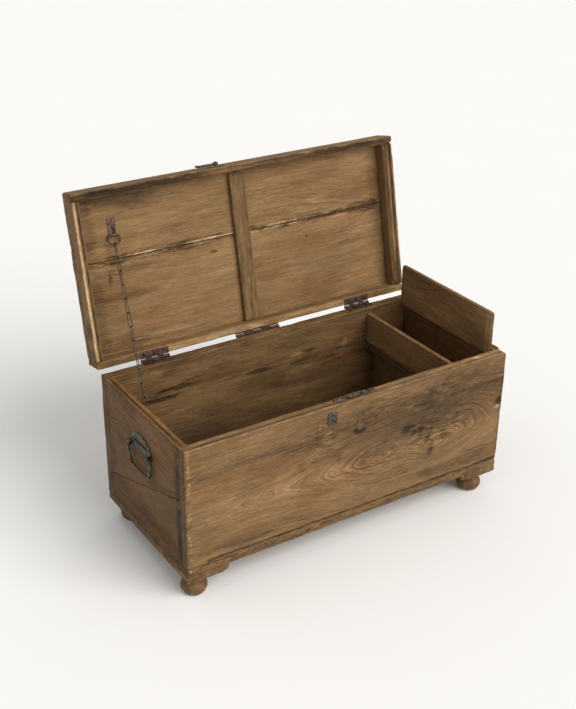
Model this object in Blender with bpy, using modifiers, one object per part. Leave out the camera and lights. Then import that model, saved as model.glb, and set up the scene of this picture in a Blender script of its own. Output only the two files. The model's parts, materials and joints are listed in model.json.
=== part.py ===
"""Antique wooden blanket chest, standing open on four turned feet.

Metres, +Z up. The ground is z = 0 and the origin is under the middle of the
open chest's bounding box. Pieces are modelled in chest coordinates (x from the
left end, y from the front face, z from the ground) under one parent empty.
The lid is modelled closed, under an empty on its hinge axis that holds it open.
"""

import math

import bmesh
import bpy
from mathutils import Matrix, Vector

# ---- driving dimensions -------------------------------------------------
LENGTH = 1.000
DEPTH = 0.458
GAP = 0.0003  # clearance between pieces that touch

FOOT_HEIGHT = 0.052
FOOT_RADIUS = 0.035
FOOT_INSET_LEFT = 0.036
FOOT_INSET_RIGHT = 0.062
FOOT_INSET_DEPTH = 0.038
FOOT_INSET_BACK_LEFT = (0.049, 0.047)  # this foot has been moved inwards
CLEAT_THICKNESS = 0.020
CLEAT_WIDTH = 0.120
FLOOR_THICKNESS = 0.018
BOARD_HEIGHT = 0.3457  # front, back and end boards, floor to rim
FRONT_THICKNESS = 0.030
END_THICKNESS = 0.024

FRONT_SEAM = 0.074  # all seams are measured down from the rim
BACK_SEAM = 0.096
RIGHT_END_SEAM = 0.170
LEFT_END_SEAM_FRONT = 0.150
LEFT_END_SEAM_BACK = 0.286

LID_THICKNESS = 0.064
LID_PLANK_THICKNESS = 0.024
LID_RAIL_WIDTH = 0.021
LID_RAIL_WIDTH_RIGHT = 0.030
LID_PLANK_SEAM = 0.270  # from the hinge side
LID_BATTEN_X = 0.490
LID_BATTEN_WIDTH = 0.046
LID_BATTEN_THICKNESS = 0.013
LID_EDGE = 0.003  # worn edges of the lid planks
LID_CLOSED_GAP = 0.001
LID_SIDE_OVERHANG = 0.003
LID_FRONT_OVERHANG = 0.007
LID_OPEN_ANGLE = math.radians(102.3)

HINGE_OUT = 0.007  # axis behind the back face
HINGE_UP = 0.0005  # axis above the rim
HINGE_LEAF = 0.0018
HINGE_LEAF_WIDTH = 0.0175
HINGE_KNUCKLES = 5
HINGE_PIN_RADIUS = 0.0016

TILL_DROP = 0.014  # till side below the rim
TILL_SIDE_X = 0.839
TILL_BOARD = 0.012
TILL_SIDE_HEIGHT = 0.0917
TILL_FLOOR_THICKNESS = 0.020
TILL_LID_WIDTH = 0.120
TILL_PIVOT_X = 0.967
TILL_PIN_RADIUS = 0.003
PARTITION_X = 0.871

LOCK_X = 0.500
LOCK_PLATE_LENGTH = 0.130
LOCK_PLATE_WIDTH = 0.016
LOCK_PLATE_THICKNESS = 0.002
LOCK_PLATE_Y = 0.018

PLUG_X = 0.511
PLUG_DROP = 0.066  # middle of the keyhole plug, below the rim
PLUG_WIDTH = 0.025
PLUG_HEIGHT = 0.060
PLUG_DEPTH = 0.008

STAPLE_X = 0.4205
HOOK_X = 0.4275
HOOK_LENGTH = 0.054
HOOK_WIRE = 0.0030
HOOK_OFFSET = 0.0075
HOOK_HEIGHT = 0.023  # pivot above the lid's rim

HANDLE_DROP = 0.109  # bail pivots below the rim
HANDLE_OUT = 0.0085  # bail axis off the end board
BAIL_RADIUS = 0.0042
BAIL_HALF_WIDTH = 0.062
BAIL_LENGTH = 0.062

CHAIN_LINKS = 13
CHAIN_WIRE = 0.0014
CHAIN_LINK_WIDTH = 0.0125
CHAIN_CLEARANCE = 0.0003
CHAIN_TOP_X = 0.110
CHAIN_TOP_U = 0.337  # ring axis from the lid's hinge edge
CHAIN_TOP_DEPTH = 0.035  # ring axis inside the lid's rim
CHAIN_PIN = Vector((0.045, 0.270, 0.362))
CHAIN_PIN_RADIUS = 0.0018
RING_WIRE = 0.0024
RING_DROP = 0.026
RING_HALF_WIDTH = 0.0185

# ---- levels worked out from them ---------------------------------------
FLOOR_Z = FOOT_HEIGHT + CLEAT_THICKNESS + GAP
BOARD_Z = FLOOR_Z + FLOOR_THICKNESS + GAP
RIM_Z = BOARD_Z + BOARD_HEIGHT
INNER_BACK = DEPTH - FRONT_THICKNESS
HINGE_Y = DEPTH + HINGE_OUT
HINGE_Z = RIM_Z + HINGE_UP
LID_BOTTOM = LID_CLOSED_GAP - HINGE_UP  # the closed lid's rim, above the hinge axis
LID_BACK = -HINGE_OUT
LID_FRONT = -HINGE_OUT - DEPTH - LID_FRONT_OVERHANG
PANEL_Z = LID_BOTTOM + LID_THICKNESS - LID_PLANK_THICKNESS
TILL_TOP = RIM_Z - TILL_DROP
TILL_PIVOT_Z = TILL_TOP + TILL_BOARD / 2 + GAP
STAPLE_REACH = LID_FRONT_OVERHANG + 0.0148
LID_REACH = HINGE_Y + (LID_FRONT + LID_EDGE) * math.cos(LID_OPEN_ANGLE)
LID_REACH += (LID_BOTTOM + LID_THICKNESS) * math.sin(LID_OPEN_ANGLE)
Y_MIDDLE = (LID_REACH - STAPLE_REACH) / 2

WOOD = {
    "wood_body": (0.262, 0.161, 0.083),
    "wood_end": (0.150, 0.093, 0.046),
    "wood_rim": (0.418, 0.275, 0.155),
    "wood_lid": (0.300, 0.186, 0.092),
    "wood_inside": (0.128, 0.074, 0.036),
    "wood_foot": (0.235, 0.122, 0.056),
}
METAL = {
    "rusty_iron": (0.105, 0.048, 0.028),
    "dark_iron": (0.085, 0.078, 0.066),
    "chain_wire": (0.150, 0.128, 0.100),
}


# ---- scene --------------------------------------------------------------
def clear_scene():
    for obj in list(bpy.data.objects):
        bpy.data.objects.remove(obj, do_unlink=True)


def make_collection(name):
    collection = bpy.data.collections.new(name)
    bpy.context.scene.collection.children.link(collection)
    return collection


def make_materials():
    made = {}
    for name, colour in {**WOOD, **METAL}.items():
        material = bpy.data.materials.new(name)
        material.use_nodes = True
        shader = material.node_tree.nodes["Principled BSDF"]
        shader.inputs["Base Color"].default_value = (*colour, 1.0)
        shader.inputs["Roughness"].default_value = 0.72 if name in WOOD else 0.55
        shader.inputs["Metallic"].default_value = 0.0 if name in WOOD else 0.85
        made[name] = material
    return made


def make_empty(name, parent=None, location=(0, 0, 0), rotation=(0, 0, 0)):
    empty = bpy.data.objects.new(name, None)
    PARTS.objects.link(empty)
    empty.parent = parent
    empty.location = location
    empty.rotation_euler = rotation
    return empty


clear_scene()
PARTS = make_collection("wooden_chest")
CUTTERS = make_collection("cutters")
MATERIALS = make_materials()
CHEST = make_empty("chest_origin", location=(-LENGTH / 2, -Y_MIDDLE, 0))
LID = make_empty("lid_hinge_axis", CHEST, (0, HINGE_Y, HINGE_Z), (-LID_OPEN_ANGLE, 0, 0))


# ---- shape helpers -------------------------------------------------------
def add_object(name, data, parent, material, cutter=False):
    obj = bpy.data.objects.new(name, data)
    obj.parent = parent
    if cutter:
        CUTTERS.objects.link(obj)
        obj.hide_render = True
        obj.display_type = "WIRE"
    else:
        PARTS.objects.link(obj)
        data.materials.append(MATERIALS[material])
    return obj


def mesh_from(name, bm):
    mesh = bpy.data.meshes.new(name)
    bmesh.ops.recalc_face_normals(bm, faces=bm.faces[:])
    bm.to_mesh(mesh)
    bm.free()
    return mesh


def box(name, low, high, parent, material=None, edge=0.0, cutter=False):
    """An upright block between two corners, its edges eased by a bevel."""
    bm = bmesh.new()
    bmesh.ops.create_cube(bm, size=1.0)
    size = Vector(high) - Vector(low)
    bmesh.ops.scale(bm, vec=size, verts=bm.verts[:])
    obj = add_object(name, mesh_from(name, bm), parent, material, cutter)
    obj.location = (Vector(low) + Vector(high)) / 2
    if edge:
        bevel = obj.modifiers.new("eased_edges", "BEVEL")
        bevel.width = edge
        bevel.segments = 1
        bevel.limit_method = "ANGLE"
    return obj


AXIS_TURN = {
    "X": Matrix.Rotation(math.pi / 2, 4, "Y"),
    "Y": Matrix.Rotation(-math.pi / 2, 4, "X"),
    "Z": Matrix.Identity(4),
}


def rod(name, centre, length, radius, axis, parent, material=None, sides=16, cutter=False):
    """A round bar along one axis, centred on a point."""
    bm = bmesh.new()
    bmesh.ops.create_cone(
        bm, cap_ends=True, segments=sides, radius1=radius, radius2=radius, depth=length
    )
    bmesh.ops.transform(bm, matrix=AXIS_TURN[axis], verts=bm.verts[:])
    obj = add_object(name, mesh_from(name, bm), parent, material, cutter)
    obj.location = centre
    for polygon in obj.data.polygons:
        polygon.use_smooth = len(polygon.vertices) == 4
    return obj


def combine(target, tool, operation):
    modifier = target.modifiers.new(tool.name, "BOOLEAN")
    modifier.operation = operation
    modifier.solver = "EXACT"
    modifier.object = tool


def cut(target, tool):
    combine(target, tool, "DIFFERENCE")


def join(target, tool):
    combine(target, tool, "UNION")


def wire(name, points, radius, parent, material, cyclic, resolution=2):
    """A round wire along a polyline, capped where it is open."""
    curve = bpy.data.curves.new(name, "CURVE")
    curve.dimensions = "3D"
    curve.bevel_depth = radius
    curve.bevel_resolution = resolution
    curve.use_fill_caps = True
    spline = curve.splines.new("POLY")
    spline.points.add(len(points) - 1)
    for point, place in zip(spline.points, points):
        point.co = (*place, 1.0)
    spline.use_cyclic_u = cyclic
    return add_object(name, curve, parent, material)


def as_mesh(obj, cutter=False):
    """The curve made a mesh with its caps welded, so that it can be cut or joined."""
    graph = bpy.context.evaluated_depsgraph_get()
    graph.update()
    mesh = bpy.data.meshes.new_from_object(obj.evaluated_get(graph))
    bm = bmesh.new()
    bm.from_mesh(mesh)
    bmesh.ops.remove_doubles(bm, verts=bm.verts[:], dist=1e-6)
    bmesh.ops.recalc_face_normals(bm, faces=bm.faces[:])
    bm.to_mesh(mesh)
    bm.free()
    name = obj.name
    material = obj.data.materials[0].name
    place = (obj.parent, obj.location.copy(), obj.rotation_euler.copy())
    bpy.data.objects.remove(obj, do_unlink=True)
    mesh.materials.clear()
    made = add_object(name, mesh, place[0], material, cutter)
    made.location = place[1]
    made.rotation_euler = place[2]
    return made


def flat_outline(name, rings, thickness, parent, material, cutter=False):
    """A plate in its local XY plane, centred on it, with its first ring outside and holes after."""
    curve = bpy.data.curves.new(name, "CURVE")
    curve.dimensions = "2D"
    curve.fill_mode = "BOTH"
    curve.extrude = thickness / 2
    for ring in rings:
        spline = curve.splines.new("POLY")
        spline.points.add(len(ring) - 1)
        for point, (x, y) in zip(spline.points, ring):
            point.co = (x, y, 0.0, 1.0)
        spline.use_cyclic_u = True
    return add_object(name, curve, parent, material, cutter)


def arc(centre, radius, start, end, steps):
    """Points of an arc, angles in degrees."""
    found = []
    for i in range(steps + 1):
        angle = math.radians(start + (end - start) * i / steps)
        found.append((centre[0] + radius * math.cos(angle), centre[1] + radius * math.sin(angle)))
    return found


# ---- carcase -------------------------------------------------------------
def plank(name, low, high, material, edge=0.0015):
    return box(name, low, high, CHEST, material, edge)


def make_carcase():
    front_seam = RIM_Z - FRONT_SEAM
    back_seam = RIM_Z - BACK_SEAM
    seam_gap = GAP / 2
    plank("front_plank_lower", (0, 0, BOARD_Z), (LENGTH, FRONT_THICKNESS, front_seam - seam_gap), "wood_body")
    plank("front_plank_upper", (0, 0, front_seam + seam_gap), (LENGTH, FRONT_THICKNESS, RIM_Z), "wood_body")
    plank("back_plank_lower", (0, INNER_BACK, BOARD_Z), (LENGTH, DEPTH, back_seam - seam_gap), "wood_body")
    plank("back_plank_upper", (0, INNER_BACK, back_seam + seam_gap), (LENGTH, DEPTH, RIM_Z), "wood_body")
    ends = (
        ("left", END_THICKNESS / 2, LEFT_END_SEAM_FRONT, LEFT_END_SEAM_BACK),
        ("right", LENGTH - END_THICKNESS / 2, RIGHT_END_SEAM, RIGHT_END_SEAM),
    )
    for side, x, drop_front, drop_back in ends:
        end_board(f"{side}_end_plank_lower", x, BOARD_Z, BOARD_Z, RIM_Z - drop_front - seam_gap, RIM_Z - drop_back - seam_gap)
        end_board(f"{side}_end_plank_upper", x, RIM_Z - drop_front + seam_gap, RIM_Z - drop_back + seam_gap, RIM_Z, RIM_Z)


def end_board(name, x, low_front, low_back, high_front, high_back):
    """An end board between the front and back boards, with a seam that may slope."""
    near = FRONT_THICKNESS + GAP
    far = INNER_BACK - GAP
    ring = [(near, low_front), (far, low_back), (far, high_back), (near, high_front)]
    board = flat_outline(name, [ring], END_THICKNESS, CHEST, "wood_end")
    board.location = (x, 0, 0)
    board.rotation_euler = (math.pi / 2, 0, math.pi / 2)


def make_base():
    middle = DEPTH / 2
    spans = {"front": (0, middle - GAP / 2), "back": (middle + GAP / 2, DEPTH)}
    for name, (near, far) in spans.items():
        plank(f"floor_board_{name}", (0, near, FLOOR_Z), (LENGTH, far, FLOOR_Z + FLOOR_THICKNESS), "wood_body")
    cleats = {"left": 0, "right": LENGTH - CLEAT_WIDTH}
    for name, x in cleats.items():
        low = (x, 0, FOOT_HEIGHT)
        high = (x + CLEAT_WIDTH, DEPTH, FOOT_HEIGHT + CLEAT_THICKNESS)
        plank(f"cleat_{name}", low, high, "wood_body", 0.003)


def make_feet():
    """Turned bun feet: a short neck, a small ring and the bun."""
    neck = FOOT_RADIUS * 0.60
    profile = [(0.0, FOOT_HEIGHT - GAP), (neck, FOOT_HEIGHT - GAP), (neck, FOOT_HEIGHT - 0.003)]
    ring_radius = FOOT_RADIUS * 0.70
    profile += [(ring_radius, FOOT_HEIGHT - 0.005), (ring_radius, FOOT_HEIGHT - 0.009)]
    profile += [(neck, FOOT_HEIGHT - 0.011)]
    bun_middle = 0.019
    steps = 8
    for i in range(steps + 1):
        angle = math.radians(58 - 112 * i / steps)
        radius = FOOT_RADIUS * math.cos(angle) ** 0.6
        profile.append((radius, bun_middle + 0.0235 * math.sin(angle)))
    profile = [point for point in profile if point[1] > 0.0005]
    profile += [(profile[-1][0] * 0.93, 0.0), (0.0, 0.0)]
    places = {
        "front_left": (FOOT_INSET_LEFT, FOOT_INSET_DEPTH),
        "front_right": (LENGTH - FOOT_INSET_RIGHT, FOOT_INSET_DEPTH),
        "back_left": (FOOT_INSET_BACK_LEFT[0], DEPTH - FOOT_INSET_BACK_LEFT[1]),
        "back_right": (LENGTH - FOOT_INSET_RIGHT, DEPTH - FOOT_INSET_DEPTH),
    }
    for name, (x, y) in places.items():
        mesh = bpy.data.meshes.new(f"foot_{name}")
        edges = [(i, i + 1) for i in range(len(profile) - 1)]
        mesh.from_pydata([(radius, 0, z) for radius, z in profile], edges, [])
        foot = add_object(f"foot_{name}", mesh, CHEST, "wood_foot")
        foot.location = (x, y, 0)
        turn = foot.modifiers.new("turned", "SCREW")
        turn.steps = 20
        turn.render_steps = 20
        turn.use_merge_vertices = True
        turn.merge_threshold = 0.00005
        turn.use_smooth_shade = True


# ---- till ----------------------------------------------------------------
def make_till():
    near = FRONT_THICKNESS + GAP
    far = INNER_BACK - GAP
    right = LENGTH - END_THICKNESS - GAP
    side_bottom = TILL_TOP - TILL_SIDE_HEIGHT
    floor_top = side_bottom - GAP
    floor_bottom = floor_top - TILL_FLOOR_THICKNESS
    plank("till_side", (TILL_SIDE_X, near, side_bottom), (TILL_SIDE_X + TILL_BOARD, far, TILL_TOP), "wood_inside", 0.001)
    plank("till_floor", (TILL_SIDE_X - 0.001, near, floor_bottom), (right, far, floor_top), "wood_inside", 0.001)
    plank("till_lower_partition", (PARTITION_X, near, BOARD_Z), (PARTITION_X + TILL_BOARD, far, floor_bottom - GAP), "wood_inside", 0.001)
    axis = make_empty("till_lid_axis", CHEST, (TILL_PIVOT_X, 0, TILL_PIVOT_Z), (0, math.pi / 2, 0))
    clear = 0.0015
    half = TILL_BOARD / 2
    lid = box("till_lid", (-TILL_LID_WIDTH, near + clear, -half), (half, far - clear, half), axis, "wood_inside", 0.002)
    length = far - near + 0.016
    pin = rod("till_lid_pin_tool", (0, (near + far) / 2, 0), length, TILL_PIN_RADIUS, "Y", axis, cutter=True)
    join(lid, pin)
    for board, y in (("front_plank_upper", FRONT_THICKNESS), ("back_plank_upper", INNER_BACK)):
        place = (TILL_PIVOT_X, y, TILL_PIVOT_Z)
        socket = rod(f"{board}_pin_socket", place, 0.020, TILL_PIN_RADIUS + 0.0005, "Y", CHEST, cutter=True)
        cut(PARTS.objects[board], socket)


# ---- lid -----------------------------------------------------------------
def make_lid():
    rail_top = PANEL_Z - GAP
    inner = LID_RAIL_WIDTH
    first, last = -LID_SIDE_OVERHANG, LENGTH + LID_SIDE_OVERHANG
    box("lid_rail_front", (first, LID_FRONT, LID_BOTTOM), (last, LID_FRONT + inner, rail_top), LID, "wood_lid", 0.0015)
    box("lid_rail_back", (first, LID_BACK - inner, LID_BOTTOM), (last, LID_BACK, rail_top), LID, "wood_lid", 0.0015)
    near = LID_FRONT + inner + GAP
    far = LID_BACK - inner - GAP
    for side, low_x, high_x in (("left", first, first + inner), ("right", last - LID_RAIL_WIDTH_RIGHT, last)):
        box(f"lid_rail_{side}", (low_x, near, LID_BOTTOM), (high_x, far, rail_top), LID, "wood_lid", 0.0015)
    seam = LID_BACK - LID_PLANK_SEAM
    top = LID_BOTTOM + LID_THICKNESS
    box("lid_plank_front", (first, LID_FRONT, PANEL_Z), (last, seam - GAP / 2, top), LID, "wood_lid", LID_EDGE)
    box("lid_plank_back", (first, seam + GAP / 2, PANEL_Z), (last, LID_BACK, top), LID, "wood_lid", LID_EDGE)
    left = LID_BATTEN_X - LID_BATTEN_WIDTH / 2
    low = (left, near, rail_top - LID_BATTEN_THICKNESS)
    high = (left + LID_BATTEN_WIDTH, far, rail_top)
    box("lid_batten", low, high, LID, "wood_lid", 0.0015)


# ---- hinges --------------------------------------------------------------
def make_hinge(name, left, length, knuckle_radius, outside):
    """A butt hinge: the case leaf carries the pin, the lid leaf turns on it."""
    pitch = length / HINGE_KNUCKLES
    case_axis = make_empty(f"{name}_case_axis", CHEST, (0, HINGE_Y, HINGE_Z))
    leaves = {}
    for role, parent in (("case", case_axis), ("lid", LID)):
        leaves[role] = hinge_plate(name, role, parent, left, length, knuckle_radius, outside)
    for i in range(HINGE_KNUCKLES):
        role = "lid" if i % 2 else "case"
        parent = LID if role == "lid" else case_axis
        centre_x = left + pitch * (i + 0.5)
        width = pitch - 2 * GAP
        knuckle = rod(f"{name}_knuckle_{i}", (centre_x, 0, 0), width, knuckle_radius, "X", parent, sides=16, cutter=True)
        neck = hinge_neck(f"{name}_neck_{i}", role, parent, centre_x, width, knuckle_radius, outside)
        join(leaves[role], neck)
        join(leaves[role], knuckle)
    middle = left + length / 2
    bore = rod(f"{name}_bore", (middle, 0, 0), length + 0.01, HINGE_PIN_RADIUS + 0.0005, "X", LID, sides=12, cutter=True)
    cut(leaves["lid"], bore)
    pin = rod(f"{name}_pin", (middle, 0, 0), length + 0.001, HINGE_PIN_RADIUS, "X", case_axis, sides=12, cutter=True)
    join(leaves["case"], pin)
    return leaves


def hinge_plate(name, role, parent, left, length, knuckle_radius, outside):
    """The flat of a leaf, in the frame of the hinge axis with the lid closed."""
    sign = 1 if role == "lid" else -1
    if outside:
        inner = -HINGE_OUT + GAP
        low_z, high_z = sorted((sign * 0.001, sign * 0.045))
        low = (left, inner, low_z)
        high = (left + length, inner + HINGE_LEAF, high_z)
    else:
        level = LID_BOTTOM + GAP if role == "lid" else -HINGE_UP - GAP - HINGE_LEAF
        low = (left, -HINGE_OUT - HINGE_LEAF_WIDTH, level)
        high = (left + length, -knuckle_radius - 0.001, level + HINGE_LEAF)
    return box(f"{name}_{role}_leaf", low, high, parent, "rusty_iron")


def hinge_neck(name, role, parent, centre_x, width, knuckle_radius, outside):
    """The strip that joins a knuckle to its leaf."""
    sign = 1 if role == "lid" else -1
    if outside:
        inner = -HINGE_OUT + GAP
        low_z, high_z = sorted((sign * 0.001, sign * (knuckle_radius + 0.002)))
        low = (centre_x - width / 2, inner, low_z)
        high = (centre_x + width / 2, inner + HINGE_LEAF + 0.0015, high_z)
    else:
        level = LID_BOTTOM + GAP if role == "lid" else -HINGE_UP - GAP - HINGE_LEAF
        low = (centre_x - width / 2, -knuckle_radius - 0.002, level)
        high = (centre_x + width / 2, -0.0025, level + HINGE_LEAF)
    return box(name, low, high, parent, cutter=True)


def make_hinges():
    recess = HINGE_LEAF + 2 * GAP
    for name, left, length in (("hinge_left", 0.120, 0.085), ("hinge_right", 0.785, 0.085)):
        make_hinge(name, left, length, 0.0045, outside=False)
        near = DEPTH - HINGE_LEAF_WIDTH - GAP
        seat = box(
            f"{name}_case_seat",
            (left - GAP, near, RIM_Z - recess),
            (left + length + GAP, DEPTH + 0.01, RIM_Z + 0.01),
            CHEST,
            cutter=True,
        )
        cut(PARTS.objects["back_plank_upper"], seat)
        seat = box(
            f"{name}_lid_seat",
            (left - GAP, LID_BACK - HINGE_LEAF_WIDTH - GAP, LID_BOTTOM - 0.01),
            (left + length + GAP, LID_BACK + 0.01, LID_BOTTOM + recess),
            LID,
            cutter=True,
        )
        cut(PARTS.objects["lid_rail_back"], seat)
    make_hinge("hinge_centre", 0.415, 0.140, 0.0044, outside=True)


# ---- lock, hook and staple -----------------------------------------------
def make_lock():
    left = LOCK_X - LOCK_PLATE_LENGTH / 2
    near = LOCK_PLATE_Y - LOCK_PLATE_WIDTH / 2
    bottom = RIM_Z - LOCK_PLATE_THICKNESS
    far = near + LOCK_PLATE_WIDTH
    plate = box("lock_plate", (left, near, bottom), (left + LOCK_PLATE_LENGTH, far, RIM_Z), CHEST, "rusty_iron")
    seat = box(
        "lock_plate_seat",
        (left - GAP, near - GAP, bottom - GAP),
        (left + LOCK_PLATE_LENGTH + GAP, far + GAP, RIM_Z + 0.01),
        CHEST,
        cutter=True,
    )
    front = PARTS.objects["front_plank_upper"]
    cut(front, seat)
    for i, x in enumerate((LOCK_X - 0.030, LOCK_X + 0.021)):
        low = (x - 0.004, LOCK_PLATE_Y - 0.003, RIM_Z - 0.016)
        high = (x + 0.004, LOCK_PLATE_Y + 0.003, RIM_Z + 0.005)
        slot = box(f"lock_slot_{i}", low, high, CHEST, cutter=True)
        cut(plate, slot)
        cut(front, slot)
    low = (LOCK_X - 0.050, FRONT_THICKNESS + GAP, RIM_Z - 0.070)
    high = (LOCK_X + 0.050, FRONT_THICKNESS + 0.012, RIM_Z - 0.006)
    box("lock_case", low, high, CHEST, "rusty_iron", 0.001)


def plug_outline(grow):
    """A keyhole patch with round ends."""
    radius = PLUG_WIDTH / 2
    rise = PLUG_HEIGHT / 2 - radius
    return arc((0, rise), radius + grow, 0, 180, 8) + arc((0, -rise), radius + grow, 180, 360, 8)


def make_plug():
    """A wooden patch let into the front over the seam, where a keyhole was."""
    height = RIM_Z - PLUG_DROP
    turn = (math.pi / 2, 0, 0)
    plug = flat_outline("keyhole_plug", [plug_outline(0)], PLUG_DEPTH, CHEST, "wood_end")
    plug.location = (PLUG_X, PLUG_DEPTH / 2, height)
    plug.rotation_euler = turn
    seat = flat_outline("plug_seat", [plug_outline(GAP)], 2 * PLUG_DEPTH + 2 * GAP, CHEST, "wood_end", cutter=True)
    seat.data.materials.append(MATERIALS["wood_end"])
    seat.location = (PLUG_X, 0, height)
    seat.rotation_euler = turn
    seat = as_mesh(seat, cutter=True)
    cut(PARTS.objects["front_plank_upper"], seat)
    cut(PARTS.objects["front_plank_lower"], seat)


def make_staple():
    height = RIM_Z + LID_CLOSED_GAP + HOOK_HEIGHT - HOOK_LENGTH
    low = (STAPLE_X - 0.013, -GAP - 0.002, height - 0.022)
    high = (STAPLE_X + 0.013, -GAP, height + 0.012)
    plate = box("front_staple", low, high, CHEST, "dark_iron", 0.0006)
    reach = STAPLE_REACH - 0.0018
    half = 0.0075
    bend = 0.0045
    outline = [(-0.0012, -half)]
    outline += arc((-reach + bend, -half + bend), bend, 270, 180, 4)
    outline += arc((-reach + bend, half - bend), bend, 180, 90, 4)
    outline += [(-0.0012, half)]
    points = [(STAPLE_X, y, height + z) for y, z in outline]
    loop = as_mesh(wire("front_staple_loop", points, 0.0018, CHEST, "dark_iron", cyclic=False), cutter=True)
    join(plate, loop)


def make_hook():
    """The hook lies along the lid's front edge and turns on a headed post."""
    face = LID_FRONT - GAP
    height = LID_BOTTOM + HOOK_HEIGHT
    post = rod("hook_post", (HOOK_X, face - 0.0062, height), 0.0124, 0.0022, "Y", LID, "dark_iron", 12)
    low = (HOOK_X - 0.024, face - 0.002, height - 0.007)
    high = (HOOK_X + 0.020, face, height + 0.007)
    base = box("hook_post_base", low, high, LID, cutter=True)
    head = rod("hook_post_head", (HOOK_X, face - 0.0121, height), 0.002, 0.0050, "Y", LID, sides=12, cutter=True)
    join(post, base)
    join(post, head)
    axis = make_empty("hook_axis", LID, (HOOK_X, LID_FRONT - HOOK_OFFSET, height))
    eye = rod("hook", (0, 0, 0), 0.0060, 0.0078, "Y", axis, "dark_iron", 20)
    length = HOOK_LENGTH
    bend = 0.006
    outline = [(-0.0056, 0), (-length * 0.5, 0.0012), (-length + bend, 0)]
    outline += arc((-length + bend, bend), bend, 270, 180, 4)[1:]
    outline += [(-length, 0.012)]
    shank = as_mesh(wire("hook_shank", [(x, 0, z) for x, z in outline], HOOK_WIRE, axis, "dark_iron", cyclic=False), cutter=True)
    join(eye, shank)
    bore = rod("hook_bore", (0, 0, 0), 0.02, 0.0028, "Y", axis, sides=12, cutter=True)
    cut(eye, bore)


# ---- end handles ---------------------------------------------------------
def make_handle(side):
    """A half-moon plate with two sockets, and a drop bail that turns in them."""
    out = -1 if side == "left" else 1
    face_x = 0 if side == "left" else LENGTH
    height = RIM_Z - HANDLE_DROP
    frame = make_empty(f"{side}_handle_axis", CHEST, (face_x, DEPTH / 2, height))
    thickness = 0.0025
    moon = [(-0.056, -0.006)] + [(0.056, -0.006), (0.059, 0.004)]
    moon += [(0.053 * math.cos(a), 0.007 + 0.034 * math.sin(a)) for a in [math.pi * i / 14 for i in range(15)]]
    moon += [(-0.059, 0.004)]
    window = [(0.037 * math.cos(a), 0.010 + 0.015 * math.sin(a)) for a in [math.pi * i / 10 for i in range(11)]]
    holes = [arc((x, 0.0135), 0.0018, 0, 315, 7) for x in (-0.0455, 0.0455)]
    plate = as_mesh(flat_outline(f"{side}_handle_plate", [moon, window] + holes, thickness, frame, "dark_iron"))
    plate.rotation_euler = (math.pi / 2, 0, math.pi / 2)
    plate.location = (out * (GAP + thickness / 2), 0, 0)
    axis_x = out * HANDLE_OUT
    for i, y in enumerate((-0.052, 0.052)):
        socket = rod(f"{side}_socket_{i}", (axis_x, y, 0), 0.012, 0.0064, "Y", frame, sides=16, cutter=True)
        join(plate, socket)
    bore = rod(f"{side}_socket_bore", (axis_x, 0, 0), 0.2, BAIL_RADIUS + 0.0006, "Y", frame, sides=16, cutter=True)
    cut(plate, bore)
    bend = 0.024
    half = BAIL_HALF_WIDTH
    low = -BAIL_LENGTH
    outline = [(0.048, 0.0), (half - 0.002, 0.0), (half, -0.003)]
    outline += [(half, low * 0.35)]
    outline += [(half - 0.006, low + bend + 0.006)]
    outline += arc((half - 0.006 - bend, low + bend), bend, 0, -90, 5)[1:]
    mirrored = [(-y, z) for y, z in reversed(outline)]
    points = [(axis_x, y, z) for y, z in outline + mirrored]
    bail = wire(f"{side}_handle_bail", points, BAIL_RADIUS, frame, "dark_iron", cyclic=False, resolution=2)
    bail.location = (0, 0, 0)


# ---- stay chain ----------------------------------------------------------
def chain_top():
    """The ring's axis on the open lid, in chest coordinates."""
    y = LID_BACK - CHAIN_TOP_U
    z = LID_BOTTOM + CHAIN_TOP_DEPTH
    turn = Matrix.Rotation(-LID_OPEN_ANGLE, 3, "X")
    return Vector((CHAIN_TOP_X, HINGE_Y, HINGE_Z)) + turn @ Vector((0, y, z))


def link_pitches(run):
    """Pivot-to-pivot length of each link, all links alike, filling the run exactly."""
    wire_d = 2 * CHAIN_WIRE
    slack = 2 * CHAIN_CLEARANCE
    across = wire_d  # a crosswise link turns about the wires at its own ends
    shortening = []
    for i in range(1, CHAIN_LINKS + 1):
        if i % 2 == 0:
            shortening.append(across)
        elif i == 1:
            shortening.append(2 * wire_d + RING_WIRE + CHAIN_WIRE + slack)
        elif i == CHAIN_LINKS:
            shortening.append(2 * wire_d + CHAIN_WIRE + CHAIN_PIN_RADIUS + slack)
        else:
            shortening.append(3 * wire_d + slack)
    outer = (run + sum(shortening)) / CHAIN_LINKS
    return outer, [outer - short for short in shortening]


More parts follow.
